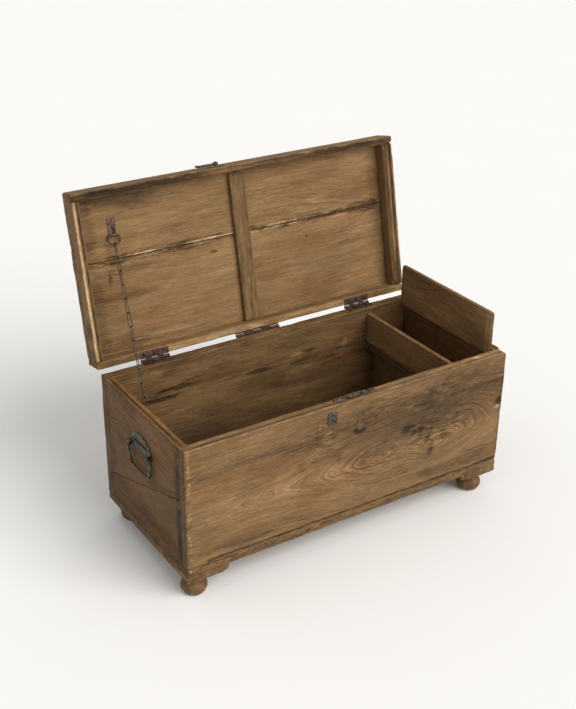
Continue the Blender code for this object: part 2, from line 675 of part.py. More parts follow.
def make_chain():
    top = chain_top()
    direction = CHAIN_PIN - top
    run = direction.length - RING_DROP
    direction.normalize()
    crosswise = (Vector((1, 0, 0)) - direction * direction.x).normalized()
    lengthwise = direction.cross(crosswise)
    box(
        "chain_strap",
        (CHAIN_TOP_X - 0.0105, LID_BACK - CHAIN_TOP_U - 0.044, PANEL_Z - 2 * GAP - 0.002),
        (CHAIN_TOP_X + 0.0105, LID_BACK - CHAIN_TOP_U, PANEL_Z - 2 * GAP),
        LID,
        "rusty_iron",
    )
    strap = PARTS.objects["chain_strap"]
    centre = (CHAIN_TOP_X, LID_BACK - CHAIN_TOP_U, LID_BOTTOM + CHAIN_TOP_DEPTH)
    join(strap, rod("chain_strap_eye", centre, 0.018, RING_WIRE + 0.0024, "X", LID, sides=12, cutter=True))
    cut(strap, rod("chain_strap_bore", centre, 0.03, RING_WIRE + 0.0006, "X", LID, sides=12, cutter=True))

    half = RING_HALF_WIDTH
    flat = [(-half, 0.0), (half, 0.0)]
    flat += [(half * math.cos(a), RING_DROP * 0.25 + RING_DROP * 0.75 * math.sin(a)) for a in [math.pi * i / 10 for i in range(11)]]
    points = [top + Vector((x, 0, 0)) + direction * d for x, d in flat]
    place_wire("chain_ring", points, RING_WIRE, top)

    outer, pitches = link_pitches(run)
    pivot = top + direction * RING_DROP
    bow = (CHAIN_LINK_WIDTH - 2 * CHAIN_WIRE) / 2
    for i, pitch in enumerate(pitches, start=1):
        side = crosswise if i % 2 == 0 else lengthwise
        if i % 2 == 0:
            start = 0.0
        else:
            upper = RING_WIRE if i == 1 else CHAIN_WIRE
            start = -(upper + CHAIN_CLEARANCE + CHAIN_WIRE)
        end = start + outer - 2 * CHAIN_WIRE
        flat = arc((0, start + bow), bow, 180, 360, 6) + arc((0, end - bow), bow, 0, 180, 6)
        points = [pivot + side * x + direction * d for x, d in flat]
        place_wire(f"chain_link_{i:02d}", points, CHAIN_WIRE, pivot)
        pivot = pivot + direction * pitch

    wall = END_THICKNESS + GAP
    tip = CHAIN_PIN.x + 0.0075
    centre = ((wall + tip) / 2, CHAIN_PIN.y, CHAIN_PIN.z)
    pin = rod("chain_pin", centre, tip - wall, CHAIN_PIN_RADIUS, "X", CHEST, "rusty_iron", 12)
    base = (wall + 0.001, CHAIN_PIN.y, CHAIN_PIN.z)
    join(pin, rod("chain_pin_rose", base, 0.002, 0.008, "X", CHEST, sides=12, cutter=True))
    head = (tip, CHAIN_PIN.y, CHAIN_PIN.z)
    join(pin, rod("chain_pin_head", head, 0.002, 0.0045, "X", CHEST, sides=12, cutter=True))


def place_wire(name, points, radius, origin):
    """A closed wire whose object origin is its joint."""
    obj = wire(name, [point - origin for point in points], radius, CHEST, "chain_wire", cyclic=True)
    obj.location = origin


make_carcase()
make_base()
make_feet()
make_till()
make_lid()
make_hinges()
make_lock()
make_plug()
make_staple()
make_hook()
make_handle("left")
make_handle("right")
make_chain()
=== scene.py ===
"""An old wooden blanket chest with its lid open: surfaces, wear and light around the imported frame."""

import json
import math

import bmesh
import bpy
import numpy as np
from mathutils import Matrix, Vector


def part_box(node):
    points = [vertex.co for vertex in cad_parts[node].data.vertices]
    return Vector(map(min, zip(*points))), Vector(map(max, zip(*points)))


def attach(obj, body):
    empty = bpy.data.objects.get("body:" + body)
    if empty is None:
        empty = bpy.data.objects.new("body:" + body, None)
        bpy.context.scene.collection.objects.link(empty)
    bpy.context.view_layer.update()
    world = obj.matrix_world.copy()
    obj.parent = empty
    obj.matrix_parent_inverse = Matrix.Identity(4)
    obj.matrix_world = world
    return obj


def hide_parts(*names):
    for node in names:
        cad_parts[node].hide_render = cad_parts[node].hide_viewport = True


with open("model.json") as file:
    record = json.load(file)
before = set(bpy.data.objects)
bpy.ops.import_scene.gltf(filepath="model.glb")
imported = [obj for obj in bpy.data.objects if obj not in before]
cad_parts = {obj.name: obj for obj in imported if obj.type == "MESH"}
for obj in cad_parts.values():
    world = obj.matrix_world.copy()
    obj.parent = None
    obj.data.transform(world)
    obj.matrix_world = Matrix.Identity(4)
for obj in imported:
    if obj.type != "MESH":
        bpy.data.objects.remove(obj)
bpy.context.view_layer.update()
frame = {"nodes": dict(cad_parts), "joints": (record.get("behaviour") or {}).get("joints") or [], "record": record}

# ---- the frame's own places ----------------------------------------------
NODES = frame["nodes"]
JOINTS = {joint["name"]: joint for joint in frame["joints"]}
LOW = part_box("front_plank_lower")[0]
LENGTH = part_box("front_plank_lower")[1].x - LOW.x
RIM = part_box("front_plank_upper")[1].z
LID_AXIS = JOINTS["lid_hinge"]["pos_m"]
LID_OPEN = math.radians(JOINTS["lid_hinge"]["range_deg"][1])


# recesses and slots, in metres
SEAT_GAP = 0.0004
CASE_SEAT_DEPTH = 0.0026
LID_SEAT_DEPTH = 0.0032
PAST = 0.01  # how far a cutter reaches past a face
LOCK_SLOTS = (0.47, 0.521)  # middles of the two slots in the selvage plate, from the left end
SLOT_HALF = 0.0039
SLOT_DEEP = 0.016
SLOT_DEPTHWISE = (0.0151, 0.0209)

# handles, chain and ring
HANDLE_NAIL_OFFSET = 0.0455
HANDLE_NAIL_HEIGHT = 0.0199
LINK_NARROW = 0.0041
LINK_WIDE = 0.0055
LINK_WIRE = 0.0015
RING_HALF = 0.0172
RING_WIRE = 0.0026

# the photograph's camera and the studio light
LENS = 59.8
CAMERA_PLACE = (-1.07, -2.087, 1.89)  # from the case's front left corner
CAMERA_AHEAD = (0.4851, 0.7467, -0.4551)
CAMERA_ROLL = 0.0128
SKY_STRENGTH = 0.6
KEY_STRENGTH = 2.3
KEY_SPREAD = 48
KEY_AHEAD = (-0.36, 0.78, -0.66)

CASE = Matrix.Translation((LOW.x, LOW.y, 0))
LID = Matrix.Translation((LOW.x, LID_AXIS[1], LID_AXIS[2])) @ Matrix.Rotation(-LID_OPEN, 4, "X")

# Grain, thickness and width directions of a board, in the frame that it belongs to.
RUNS = {
    "front": ((1, 0, 0), (0, 1, 0), (0, 0, 1)), "end": ((0, 1, 0), (-1, 0, 0), (0, 0, 1)),
    "flat": ((1, 0, 0), (0, 0, -1), (0, 1, 0)), "cross": ((0, 1, 0), (0, 0, 1), (1, 0, 0)),
}


def node_box(node, place):
    """Lowest and highest corner of a CAD node in the case's or the lid's own frame."""
    inverse = np.array(place.inverted())
    points = np.array([v.co for v in NODES[node].data.vertices])
    points = points @ inverse[:3, :3].T + inverse[:3, 3]
    return Vector(points.min(0)), Vector(points.max(0))


# ---- seeded noise for shapes ------------------------------------------------
def lattice(cell, seed):
    """A repeatable random value from 0 to 1 for each whole-numbered cell."""
    h = cell[:, 0] * 374761393 + cell[:, 1] * 668265263 + cell[:, 2] * 1103515245 + seed * 974711
    h = h & 0xFFFFFFFF
    h = ((h ^ (h >> 13)) * 1274126177) & 0xFFFFFFFF
    return ((h ^ (h >> 16)) & 0xFFFF) / 65535.0


def noise(points, scale, seed):
    """Smooth value noise from 0 to 1. Scale is per metre, for each direction or for all."""
    scaled = points * np.array(scale, float)
    cell = np.floor(scaled).astype(np.int64)
    f = scaled - cell
    f = f * f * (3 - 2 * f)
    total = np.zeros(len(points))
    for corner in range(8):
        step = np.array([corner & 1, corner >> 1 & 1, corner >> 2 & 1])
        weight = np.prod(np.where(step, f, 1 - f), axis=1)
        total += weight * lattice(cell + step, seed)
    return total


def fbm(points, scale, seed, octaves=3):
    """Several octaves of noise, from 0 to 1."""
    total = np.zeros(len(points))
    size = 0.0
    for i in range(octaves):
        weight = 0.5**i
        total += weight * noise(points, np.array(scale, float) * 2**i, seed + 31 * i)
        size += weight
    return total / size


def smooth(value, low, high):
    """A soft step from 0 at low to 1 at high."""
    t = np.clip((value - low) / (high - low), 0, 1)
    return t * t * (3 - 2 * t)


# ---- weathered boards ---------------------------------------------------------
LID_EDGE_RADIUS = 0.0062  # least radius on the long outer edges of the lid boards
EDGE_LINES = (0, 0.0004, 0.001, 0.0018, 0.003, 0.0046, 0.0068, 0.0095)


def ticks(half, step, extra=()):
    """Grid lines across a board, closer together towards its edges."""
    fine = [e for e in EDGE_LINES if e < half * 0.85]
    inner = half - fine[-1]
    count = max(1, math.ceil(2 * inner / step))
    lines = list(np.linspace(-inner, inner, count + 1))
    for e in fine[:-1]:
        lines += [e - half, half - e]
    for e in extra:
        if abs(e) < half:
            lines = [line for line in lines if abs(line - e) > 0.0003 or abs(line) == half]
            lines.append(e)
    return np.array(sorted(lines))


def box_grid(tx, ty, tz):
    """Points and quads of a box's skin on the given grid lines."""
    shape = (len(tx), len(ty), len(tz))
    skin = np.zeros(shape, bool)
    for axis in range(3):
        for end in (0, -1):
            index = [slice(None)] * 3
            index[axis] = end
            skin[tuple(index)] = True
    ids = np.full(shape, -1, np.int64)
    ids[skin] = np.arange(skin.sum())
    where = np.argwhere(skin)
    points = np.stack([tx[where[:, 0]], ty[where[:, 1]], tz[where[:, 2]]], axis=1)
    quads = []
    for axis in range(3):
        for end in (0, -1):
            side = np.take(ids, end, axis=axis)
            loop = [side[:-1, :-1], side[1:, :-1], side[1:, 1:], side[:-1, 1:]]
            outward = (end == -1) == (axis != 1)
            if not outward:
                loop.reverse()
            quads.append(np.stack([c.ravel() for c in loop], axis=1))
    return points, np.concatenate(quads)


def make_mesh(name, points, faces):
    """A smooth-shaded mesh."""
    mesh = bpy.data.meshes.new(name)
    mesh.from_pydata([tuple(p) for p in points], [], [tuple(int(i) for i in f) for f in faces])
    mesh.update()
    mesh.polygons.foreach_set("use_smooth", [True] * len(mesh.polygons))
    return mesh


def weather(points, half, look, seed):
    """Rounds the edges by a varying radius, chips them and lets the faces wave slightly inwards."""
    wander = fbm(points, 26, seed)
    fine = noise(points, 150, seed + 5)
    chip = smooth(noise(points, (22, 60, 60), seed + 9), 0.66, 0.82) * (0.4 + 0.6 * fine)
    radius = look["radius"] * (0.45 + 1.1 * wander) + look["ragged"] * fine**2 + look["chips"] * chip
    if look.get("ease"):
        radius = radius * look["ease"](points, half)
    if look.get("least"):
        radius = np.maximum(
            radius, LID_EDGE_RADIUS * smooth(look["least"] * points[:, 2] / half[2], 0.5, 0.9),
        )
    thin = min(half)
    radius = np.clip(radius, 0.0002, thin * 0.97)
    inner = half - radius[:, None]
    core = np.clip(points, -inner, inner)
    away = points - core
    reach = np.linalg.norm(away, axis=1)
    normal = away / np.maximum(reach, 1e-9)[:, None]
    wave = look["wave"] * fbm(points, (4, 18, 18), seed + 13)
    wave = np.minimum(wave, radius * 0.9 + 0.0002)
    return core + normal * (radius - wave)[:, None], normal


CORNER_WEAR = 0.013
PLAIN = {"radius": 0.0016, "ragged": 0.0012, "chips": 0.002, "wave": 0.0005}


def board(
    name, node, body, place, run, shape=None, paint=None, seed=0, step=0.0045, extra=None, carve=None,
    slope=None, corners=(), reach_y=None,
):
    """One weathered board standing for a CAD board of the same size."""
    look = {**PLAIN, **(shape or {})}
    extra = extra or {}
    low, high = node_box(node, place)
    if reach_y:
        low.y, high.y = reach_y
    axes = Matrix(RUNS[run]).transposed().to_4x4()
    size = axes.to_3x3().transposed() @ (high - low)
    half = np.array([abs(v) / 2 for v in size])
    points, quads = box_grid(
        *(ticks(half[i], step if i != 1 else 0.004, extra.get("xyz"[i], ())) for i in range(3))
    )
    points, normal = weather(points, half, look, seed)
    if carve:
        points = points - normal * carve(points, half)[:, None]
    for sign_x, sign_z, size_r in corners:
        points = round_corner(points, half, sign_x, sign_z, size_r)
    if slope:
        bottom, top = slope(points[:, 0], half)
        share = (points[:, 2] + half[2]) / (2 * half[2])
        points[:, 2] = bottom + share * (top - bottom)
    obj = bpy.data.objects.new(name, make_mesh(name, points, quads))
    bpy.context.scene.collection.objects.link(obj)
    obj.matrix_world = place @ Matrix.Translation((low + high) / 2) @ axes
    obj.data.materials.append(wood(name, half, seed, paint or {}))
    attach(obj, body)
    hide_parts(node)
    return obj


def round_corner(points, half, sign_x, sign_z, reach):
    """Wears one corner of a board, seen on its face, down to a quarter circle."""
    u = np.clip((sign_x * points[:, 0] - (half[0] - reach)) / reach, 0, 1)
    v = np.clip((sign_z * points[:, 2] - (half[2] - reach)) / reach, 0, 1)
    points = points.copy()
    points[:, 0] -= sign_x * reach * u * (1 - np.sqrt(1 - v * v / 2))
    points[:, 2] -= sign_z * reach * v * (1 - np.sqrt(1 - u * u / 2))
    return points


def keep_mesh(obj, mesh):
    """The evaluated shape takes the place of the modifiers."""
    old = obj.data
    obj.modifiers.clear()
    obj.data = mesh
    bpy.data.meshes.remove(old)


def carve_out(obj, boxes, place):
    """Cuts clean recesses, given as boxes in the case's or the lid's frame."""
    cutters = []
    for low, high in boxes:
        bm = bmesh.new()
        bmesh.ops.create_cube(bm, size=1.0)
        bmesh.ops.scale(bm, vec=Vector(high) - Vector(low), verts=bm.verts[:])
        bmesh.ops.translate(bm, vec=(Vector(low) + Vector(high)) / 2, verts=bm.verts[:])
        mesh = bpy.data.meshes.new("cutter")
        bm.to_mesh(mesh)
        bm.free()
        cutters.append(mesh)
    cut_with(obj, cutters, place)


def cut_with(obj, meshes, place):
    """Cuts the meshes out of an object and keeps the result as its mesh."""
    helpers = []
    for mesh in meshes:
        helper = bpy.data.objects.new("cutter", mesh)
        bpy.context.scene.collection.objects.link(helper)
        helper.matrix_world = place
        helpers.append(helper)
        modifier = obj.modifiers.new("cut", "BOOLEAN")
        modifier.operation = "DIFFERENCE"
        modifier.solver = "EXACT"
        modifier.object = helper
    graph = bpy.context.evaluated_depsgraph_get()
    graph.update()
    keep_mesh(obj, bpy.data.meshes.new_from_object(obj.evaluated_get(graph)))
    for helper in helpers:
        mesh = helper.data
        bpy.data.objects.remove(helper, do_unlink=True)
        bpy.data.meshes.remove(mesh)


# ---- material graphs ---------------------------------------------------------------
class Graph:
    """A short way to write node materials."""

    def __init__(self, name):
        self.material = bpy.data.materials.new(name)
        self.material.use_nodes = True
        self.tree = self.material.node_tree
        self.tree.nodes.clear()

    def add(self, kind, inputs=None, **settings):
        node = self.tree.nodes.new(kind)
        for key, value in settings.items():
            setattr(node, key, value)
        for key, value in (inputs or {}).items():
            self.put(node.inputs[key], value)
        return node

    def put(self, socket, value):
        if isinstance(value, bpy.types.NodeSocket):
            self.tree.links.new(value, socket)
        else:
            socket.default_value = value

    def math(self, operation, a, b=0.0, c=0.0, clamp=False):
        node = self.add("ShaderNodeMath", {0: a, 1: b, 2: c}, operation=operation, use_clamp=clamp)
        return node.outputs[0]

    def plus(self, a, b):
        return self.math("ADD", a, b)

    def minus(self, a, b):
        return self.math("SUBTRACT", a, b)

    def times(self, a, b):
        return self.math("MULTIPLY", a, b)

    def times_plus(self, a, b, c):
        return self.math("MULTIPLY_ADD", a, b, c)

    def power(self, value, exponent):
        return self.math("POWER", value, exponent)

    def size(self, value):
        return self.math("ABSOLUTE", value)

    def bell(self, value, width):
        """Falls from 1 to 0 on both sides of zero."""
        return self.math("EXPONENT", self.times(self.power(self.math("DIVIDE", value, width), 2.0), -1.0))

    def distance(self, place, middle, scale):
        """Distance from a point, with each direction scaled on its own."""
        return self.vector("LENGTH", self.vector("MULTIPLY", self.vector("SUBTRACT", place, middle), scale))

    def vector(self, operation, a, b=(0, 0, 0)):
        node = self.add("ShaderNodeVectorMath", {0: a, 1: b}, operation=operation)
        return node.outputs["Value" if operation in ("LENGTH", "DOT_PRODUCT") else "Vector"]

    def split(self, vector):
        return self.add("ShaderNodeSeparateXYZ", {0: vector}).outputs[:]

    def combine(self, x, y, z):
        return self.add("ShaderNodeCombineXYZ", {0: x, 1: y, 2: z}).outputs[0]

    def noise(self, vector, scale, detail=3.0, roughness=0.55, colour=False):
        scaled = self.vector("MULTIPLY", vector, scale)
        node = self.add(
            "ShaderNodeTexNoise",
            {"Vector": scaled, "Scale": 1.0, "Detail": detail, "Roughness": roughness},
        )
        return node.outputs["Color" if colour else "Fac"]

    def span(self, value, low, high, start=0.0, end=1.0):
        inputs = {0: value, 1: low, 2: high, 3: start, 4: end}
        return self.add("ShaderNodeMapRange", inputs, interpolation_type="SMOOTHSTEP").outputs[0]

    def mix(self, factor, a, b, blend="MIX"):
        node = self.add("ShaderNodeMix", data_type="RGBA", blend_type=blend)
        for index, value in ((0, factor), (6, a), (7, b)):
            self.put(
                node.inputs[index],
                value if isinstance(value, (float, bpy.types.NodeSocket)) else (*value, 1.0),
            )
        return node.outputs[2]

    def ramp(self, value, stops):
        node = self.add("ShaderNodeValToRGB", {0: value})
        band = node.color_ramp
        while len(band.elements) < len(stops):
            band.elements.new(0.5)
        for element, (place, colour) in zip(band.elements, stops):
            element.position = place
            element.color = (*colour, 1.0)
        return node.outputs[0]

    def finish(self, colour, roughness, metallic, height, bump, specular=0.4):
        normal = self.add("ShaderNodeBump", {"Height": height, "Distance": bump, "Strength": 1.0})
        shader = self.add("ShaderNodeBsdfPrincipled")
        self.put(shader.inputs["Base Color"], colour)
        self.put(shader.inputs["Roughness"], roughness)
        self.put(shader.inputs["Metallic"], metallic)
        self.put(shader.inputs["Specular IOR Level"], specular)
        self.put(shader.inputs["Normal"], normal.outputs[0])
        out = self.add("ShaderNodeOutputMaterial")
        self.tree.links.new(shader.outputs[0], out.inputs[0])
        return self.material


TONES = (
    (0.0, (0.01, 0.00594, 0.00308)), (0.2, (0.046, 0.02673, 0.01056)), (0.4, (0.12, 0.0693, 0.02816)),
    (0.55, (0.205, 0.1208, 0.05016)), (0.7, (0.31, 0.1901, 0.08448)), (0.85, (0.46, 0.3069, 0.1584)),
    (1.0, (0.68, 0.5247, 0.3256)),
)
# The grime entries set a darker band beside every edge: partly dirt, partly painted shade where boards meet.
PAINT = {
    "tone": 0.55, "heart": (0.0, -0.3), "under": 0.05, "tilt": 0.06, "point": 2.0, "rings": 150.0,
    "ring_tone": 0.1, "figure": (), "warp": 0.03, "streak": 0.3, "fibre": 0.2, "patch": 0.3, "knots": (),
    "spots": (), "cracks": (), "edge": 0.16, "edge_width": 0.004, "dirt_and_shade": 0.14, "dirt_and_shade_width": 0.016,
    "end_tone": -0.12, "grey": 0.0, "red": 0.35, "check": 0.5, "bump": 0.0009, "eye": 0.0, "strips": (),
    "tint": (1.0, 0.967, 0.943),
}


EYE_REACH = 0.26  # how far the front board's figure bends the grain
KNOT_STRETCH = 0.62
ARRIS_RAGGED = 3.0


def on_face(g, place, half, face):
    """Where a stain lies: 1 and -1 are the thickness faces, 2 and -2 the width faces, 0 goes through."""
    _, y, z = g.split(place)
    if abs(face) == 1:
        return g.span(g.times(y, float(face)), float(half[1]) * 0.5, float(half[1]) * 0.9)
    return g.span(g.times(z, face / 2), float(half[2]) - 0.0035, float(half[2]) - 0.0012)


def masked(g, place, half, face, mask):
    """Keeps a mask to one face of the board, where a face is named."""
    return g.times(mask, on_face(g, place, half, face)) if face else mask


def growth_rings(g, place, warp, look):
    """Distance from a leaning, wandering heart line, bent round the knots."""
    x, y, z = g.split(place)
    heart_x, heart_z = look["heart"]
    sway, point = look["warp"], look["point"]
    across = g.plus(g.minus(z, heart_z), g.times_plus(warp[0], sway, -sway / 2))
    from_heart = g.minus(x, heart_x)
    if look["eye"]:
        lean = g.times_plus(g.bell(from_heart, EYE_REACH), -look["eye"], look["eye"] + look["under"])
    else:
        lean = g.times_plus(from_heart, look["tilt"], look["under"])
    through = g.plus(g.plus(y, lean), g.times_plus(warp[1], sway, -sway / 2))
    radius = g.plus(g.power(g.size(across), point), g.power(g.size(through), point))
    radius = g.power(radius, 1 / point)
    for knot_x, knot_z, knot_radius, lift in look["knots"]:
        away = g.distance(place, (knot_x, 0, knot_z), (KNOT_STRETCH, 0, 1))
        radius = g.times_plus(g.bell(away, knot_radius), lift, radius)
    return radius


def ring_lines(g, place, moved, grain, fibre, look):
    """Thin pale ridges between darker bands, at uneven distances, strongest in the named figure."""
    rings = g.noise(grain, (7, look["rings"], 6), 1.5, 0.45)
    ridge = g.span(g.size(g.minus(rings, 0.5)), 0.055, 0.01)
    band = g.span(rings, 0.42, 0.66)
    where = g.span(g.noise(moved, (4, 10, 10), 3.0), 0.42, 0.66, 0.1, 0.55)
    for place_x, place_z, reach_x, reach_z, strength in look["figure"]:
        away = g.distance(place, (place_x, 0, place_z), (1 / reach_x, 0, 1 / reach_z))
        where = g.math("MAXIMUM", where, g.times(g.span(away, 1.15, 0.6), strength))
    broken = g.span(fibre, 0.3, 0.52, 0.35, 1.0)
    ridge = g.times(g.times(ridge, where), broken)
    return g.minus(g.times(ridge, 1.25), g.times(g.times(band, where), 0.75))


def drying_checks(g, moved, grain, strength):
    """Long thin dark lines along the grain."""
    lines = g.noise(grain, (3.0, 46, 40), 2.0, 0.5)
    where = g.span(g.noise(moved, (2.4, 9, 9), 2.0), 0.52, 0.66)
    return g.times(g.times(g.span(g.size(g.minus(lines, 0.5)), 0.01, 0.002), where), strength)


def handled(g, place, moved, half, look, tone):
    """Rubbed arrises, a darker band beside them that is partly dirt and partly painted shade where boards meet,
    and end grain.
    """
    gaps = [g.minus(float(reach), g.size(value)) for value, reach in zip(g.split(place), half)]
    least = g.math("MINIMUM", gaps[0], gaps[1])
    most = g.math("MAXIMUM", gaps[0], gaps[1])
    edge = g.math("MAXIMUM", least, g.math("MINIMUM", most, gaps[2]))
    dirt_and_shade_width, edge_width = look["dirt_and_shade_width"], look["edge_width"]
    uneven = g.noise(moved, (26, 60, 60), 4.0, 0.6)
    # Painted shade: this band darkens every board edge, standing for dirt and for the shade in the joints between
    # boards.
    edge_dirt_and_shade = g.span(g.times_plus(g.minus(uneven, 0.5), dirt_and_shade_width * 3.4, edge), dirt_and_shade_width, 0.0)
    tone = g.times_plus(edge_dirt_and_shade, -look["dirt_and_shade"], tone)
    ragged = g.noise(moved, (60, 110, 110), 3.0)
    ragged = g.times_plus(ragged, edge_width * ARRIS_RAGGED, -edge_width * ARRIS_RAGGED / 2)
    worn = g.span(g.plus(edge, ragged), edge_width, 0.0)
    tone = g.times_plus(worn, look["edge"] + look["dirt_and_shade"] * 0.8, tone)
    return g.times_plus(g.span(gaps[0], 0.0016, 0.0006), look["end_tone"], tone), worn


def stained(g, place, half, blot, look, tone):
    """Stains, knots and bare patches, each with a ragged outline."""
    for spot_x, spot_z, reach_x, reach_z, change, face in look["spots"]:
        if abs(face) == 2:
            away = g.distance(place, (spot_x, spot_z, 0), (1 / reach_x, 1 / reach_z, 0))
        else:
            away = g.distance(place, (spot_x, 0, spot_z), (1 / reach_x, 0, 1 / reach_z))
        mask = g.span(g.times_plus(blot, 2.2, g.minus(away, 1.1)), 1.25, 0.45)
        tone = g.times_plus(masked(g, place, half, face, mask), change, tone)
    return tone


def cracked(g, place, moved, half, blot, look, tone, depth):
    """Named cracks and scored lines, from one point of a face to another."""
    shake = g.vector("SUBTRACT", g.noise(moved, (45, 45, 45), 3.0, colour=True), (0.5, 0.5, 0.5))
    wobble = g.vector("MULTIPLY", shake, (0.006, 0, 0.006))
    for ax, az, bx, bz, width, change, face in look["cracks"]:
        run = Vector((bx - ax, 0, bz - az))
        flat = g.vector("MULTIPLY", g.vector("ADD", place, wobble), (1, 0, 1))
        offset = g.vector("SUBTRACT", flat, (ax, 0, az))
        along = g.math("DIVIDE", g.vector("DOT_PRODUCT", offset, run), run.length_squared, clamp=True)
        nearest = g.vector("MULTIPLY", g.combine(along, along, along), run)
        away = g.vector("LENGTH", g.vector("SUBTRACT", offset, nearest))
        broken = g.times_plus(blot, width * 3.2, g.minus(away, width * 1.6))
        mask = masked(g, place, half, face, g.span(broken, width, width * 0.35))
        tone = g.times_plus(mask, change, tone)
        if change < 0:
            depth = g.math("MAXIMUM", depth, mask)
    return tone, depth


def striped(g, place, moved, half, blot, look, tone):
    """Long broken strips along one line of a face."""
    xyz = g.split(place)
    for number, (axis, middle, reach, low, high, change, face) in enumerate(look["strips"]):
        apart = g.size(g.minus(xyz[axis], middle))
        mask = g.span(g.times_plus(g.minus(blot, 0.5), reach * 1.6, apart), reach, reach * 0.45)
        pattern = (60, 30, 24) if axis == 0 else (18, 90, 90)
        broken = g.noise(g.vector("ADD", moved, (number * 1.7, number, 3)), pattern, 4.0, 0.65)
        mask = masked(g, place, half, face, g.times(mask, g.span(broken, low, high)))
        tone = g.times_plus(mask, change, tone)
    return tone


def wood_colour(g, moved, tone, look):
    """Brown tones with redder and faded areas."""
    colour = g.ramp(g.math("MAXIMUM", tone, 0.02), TONES)
    hue = g.noise(moved, (3, 12, 12), 4.0)
    colour = g.mix(g.span(hue, 0.48, 0.7, 0.0, look["red"]), colour, (0.34, 0.16, 0.06), "SOFT_LIGHT")
    faded = g.noise(g.vector("ADD", moved, (9, 4, 2)), (6, 26, 26), 4.0)
    faded = g.span(faded, 0.46, 0.72, look["grey"] * 0.3, 0.04 + look["grey"])
    shade = g.add("ShaderNodeRGBToBW", {0: colour}).outputs[0]
    colour = g.mix(faded, colour, g.combine(g.times(shade, 1.04), shade, g.times(shade, 0.86)))
    return g.mix(1.0, colour, look["tint"], "MULTIPLY")


def wood(name, half, seed, paint):
    """Aged bare wood in the board's own frame: grain along X, thickness Y, width Z."""
    look = {**PAINT, **paint}
    g = Graph(name)
    place = g.add("ShaderNodeTexCoord").outputs["Object"]
    moved = g.vector("ADD", place, (seed * 1.31 + 3, seed * 0.77 + 5, seed * 2.13 + 7))
    x, y, _ = g.split(place)
    warp = g.split(g.noise(moved, (1.9, 8, 8), 3.0, colour=True))
    radius = growth_rings(g, place, warp, look)
    shift = seed * 0.37
    grain = g.combine(g.plus(x, shift), g.plus(radius, shift), g.times(y, 0.6))

    streak = g.noise(grain, (5, 70, 60), 4.0, 0.62)
    fine = g.noise(grain, (16, 330, 300), 3.0, 0.6)
    fibre = g.noise(moved, (40, 900, 900), 3.0, 0.65)
    dash = g.span(g.noise(moved, (55, 640, 640), 2.0, 0.5), 0.6, 0.72)
    patch = g.noise(moved, (5, 14, 14), 4.0, 0.6)
    wide = g.noise(g.vector("ADD", moved, (4, 1, 8)), (2.6, 5, 5), 2.0, 0.5)
    fleck = g.noise(moved, (160, 340, 340), 2.0, 0.5)
    line = ring_lines(g, place, moved, grain, fibre, look)
    tone = g.times_plus(line, look["ring_tone"], look["tone"])
    shares = (
        (streak, look["streak"] * 0.8),
        (fine, look["streak"] * 1.15),
        (fibre, look["fibre"] * 1.3),
        (patch, look["patch"]),
        (wide, 0.18),
        (fleck, 0.14),
    )
    for source, share in shares:
        tone = g.times_plus(source, share, g.minus(tone, share / 2))
    tone = g.times_plus(dash, -0.12, tone)
    check = drying_checks(g, moved, grain, look["check"])
    tone = g.times_plus(check, -0.3, tone)

    tone, worn = handled(g, place, moved, half, look, tone)
    blot = g.noise(moved, (26, 70, 70), 5.0, 0.68)
    tone = stained(g, place, half, blot, look, tone)
    tone, depth = cracked(g, place, moved, half, blot, look, tone, check)
    tone = striped(g, place, moved, half, blot, look, tone)
    colour = wood_colour(g, moved, tone, look)

    relief = g.times_plus(fine, 0.45, g.times(fibre, 0.35))
    relief = g.times_plus(line, 0.45, relief)
    relief = g.times_plus(dash, -0.25, relief)
    relief = g.times_plus(depth, -1.6, relief)
    roughness = g.span(g.plus(streak, g.times(worn, -0.15)), 0.25, 0.75, 0.55, 0.78)
    return g.finish(colour, roughness, 0.0, relief, look["bump"], 0.2)


def iron(
    name, dark, light, rust, bright, metallic=0.55, grain=420, bump=0.0006, rough=(0.42, 0.78), offset=0.0,
):
    """Old forged iron: dark skin, rust bloom, and metal showing where it is rubbed."""
    g = Graph(name)
    place = g.vector("ADD", g.add("ShaderNodeTexCoord").outputs["Object"], (offset, offset * 2, offset * 3))
    coarse = g.noise(place, (90, 90, 90), 4.0, 0.6)
    fine = g.noise(place, (grain, grain, grain), 4.0, 0.7)
    speck = g.noise(place, (grain * 2.6,) * 3, 2.0, 0.6)
    colour = g.mix(g.span(fine, 0.35, 0.65), dark, light)
    bloom = g.span(g.times_plus(fine, 0.5, g.times(coarse, 0.6)), 0.48, 0.66)
    colour = g.mix(bloom, colour, rust)
    rubbed = g.times(g.span(speck, 0.58, 0.72), g.span(coarse, 0.42, 0.62))
    colour = g.mix(rubbed, colour, bright)
    roughness = g.minus(g.span(fine, 0.3, 0.7, rough[0], rough[1]), g.times(rubbed, 0.12))
    metal = g.times(g.minus(1.0, g.times(bloom, 0.8)), metallic)
    height = g.times_plus(fine, 0.6, g.times(coarse, 0.5))
    return g.finish(colour, roughness, metal, height, bump, 0.5)


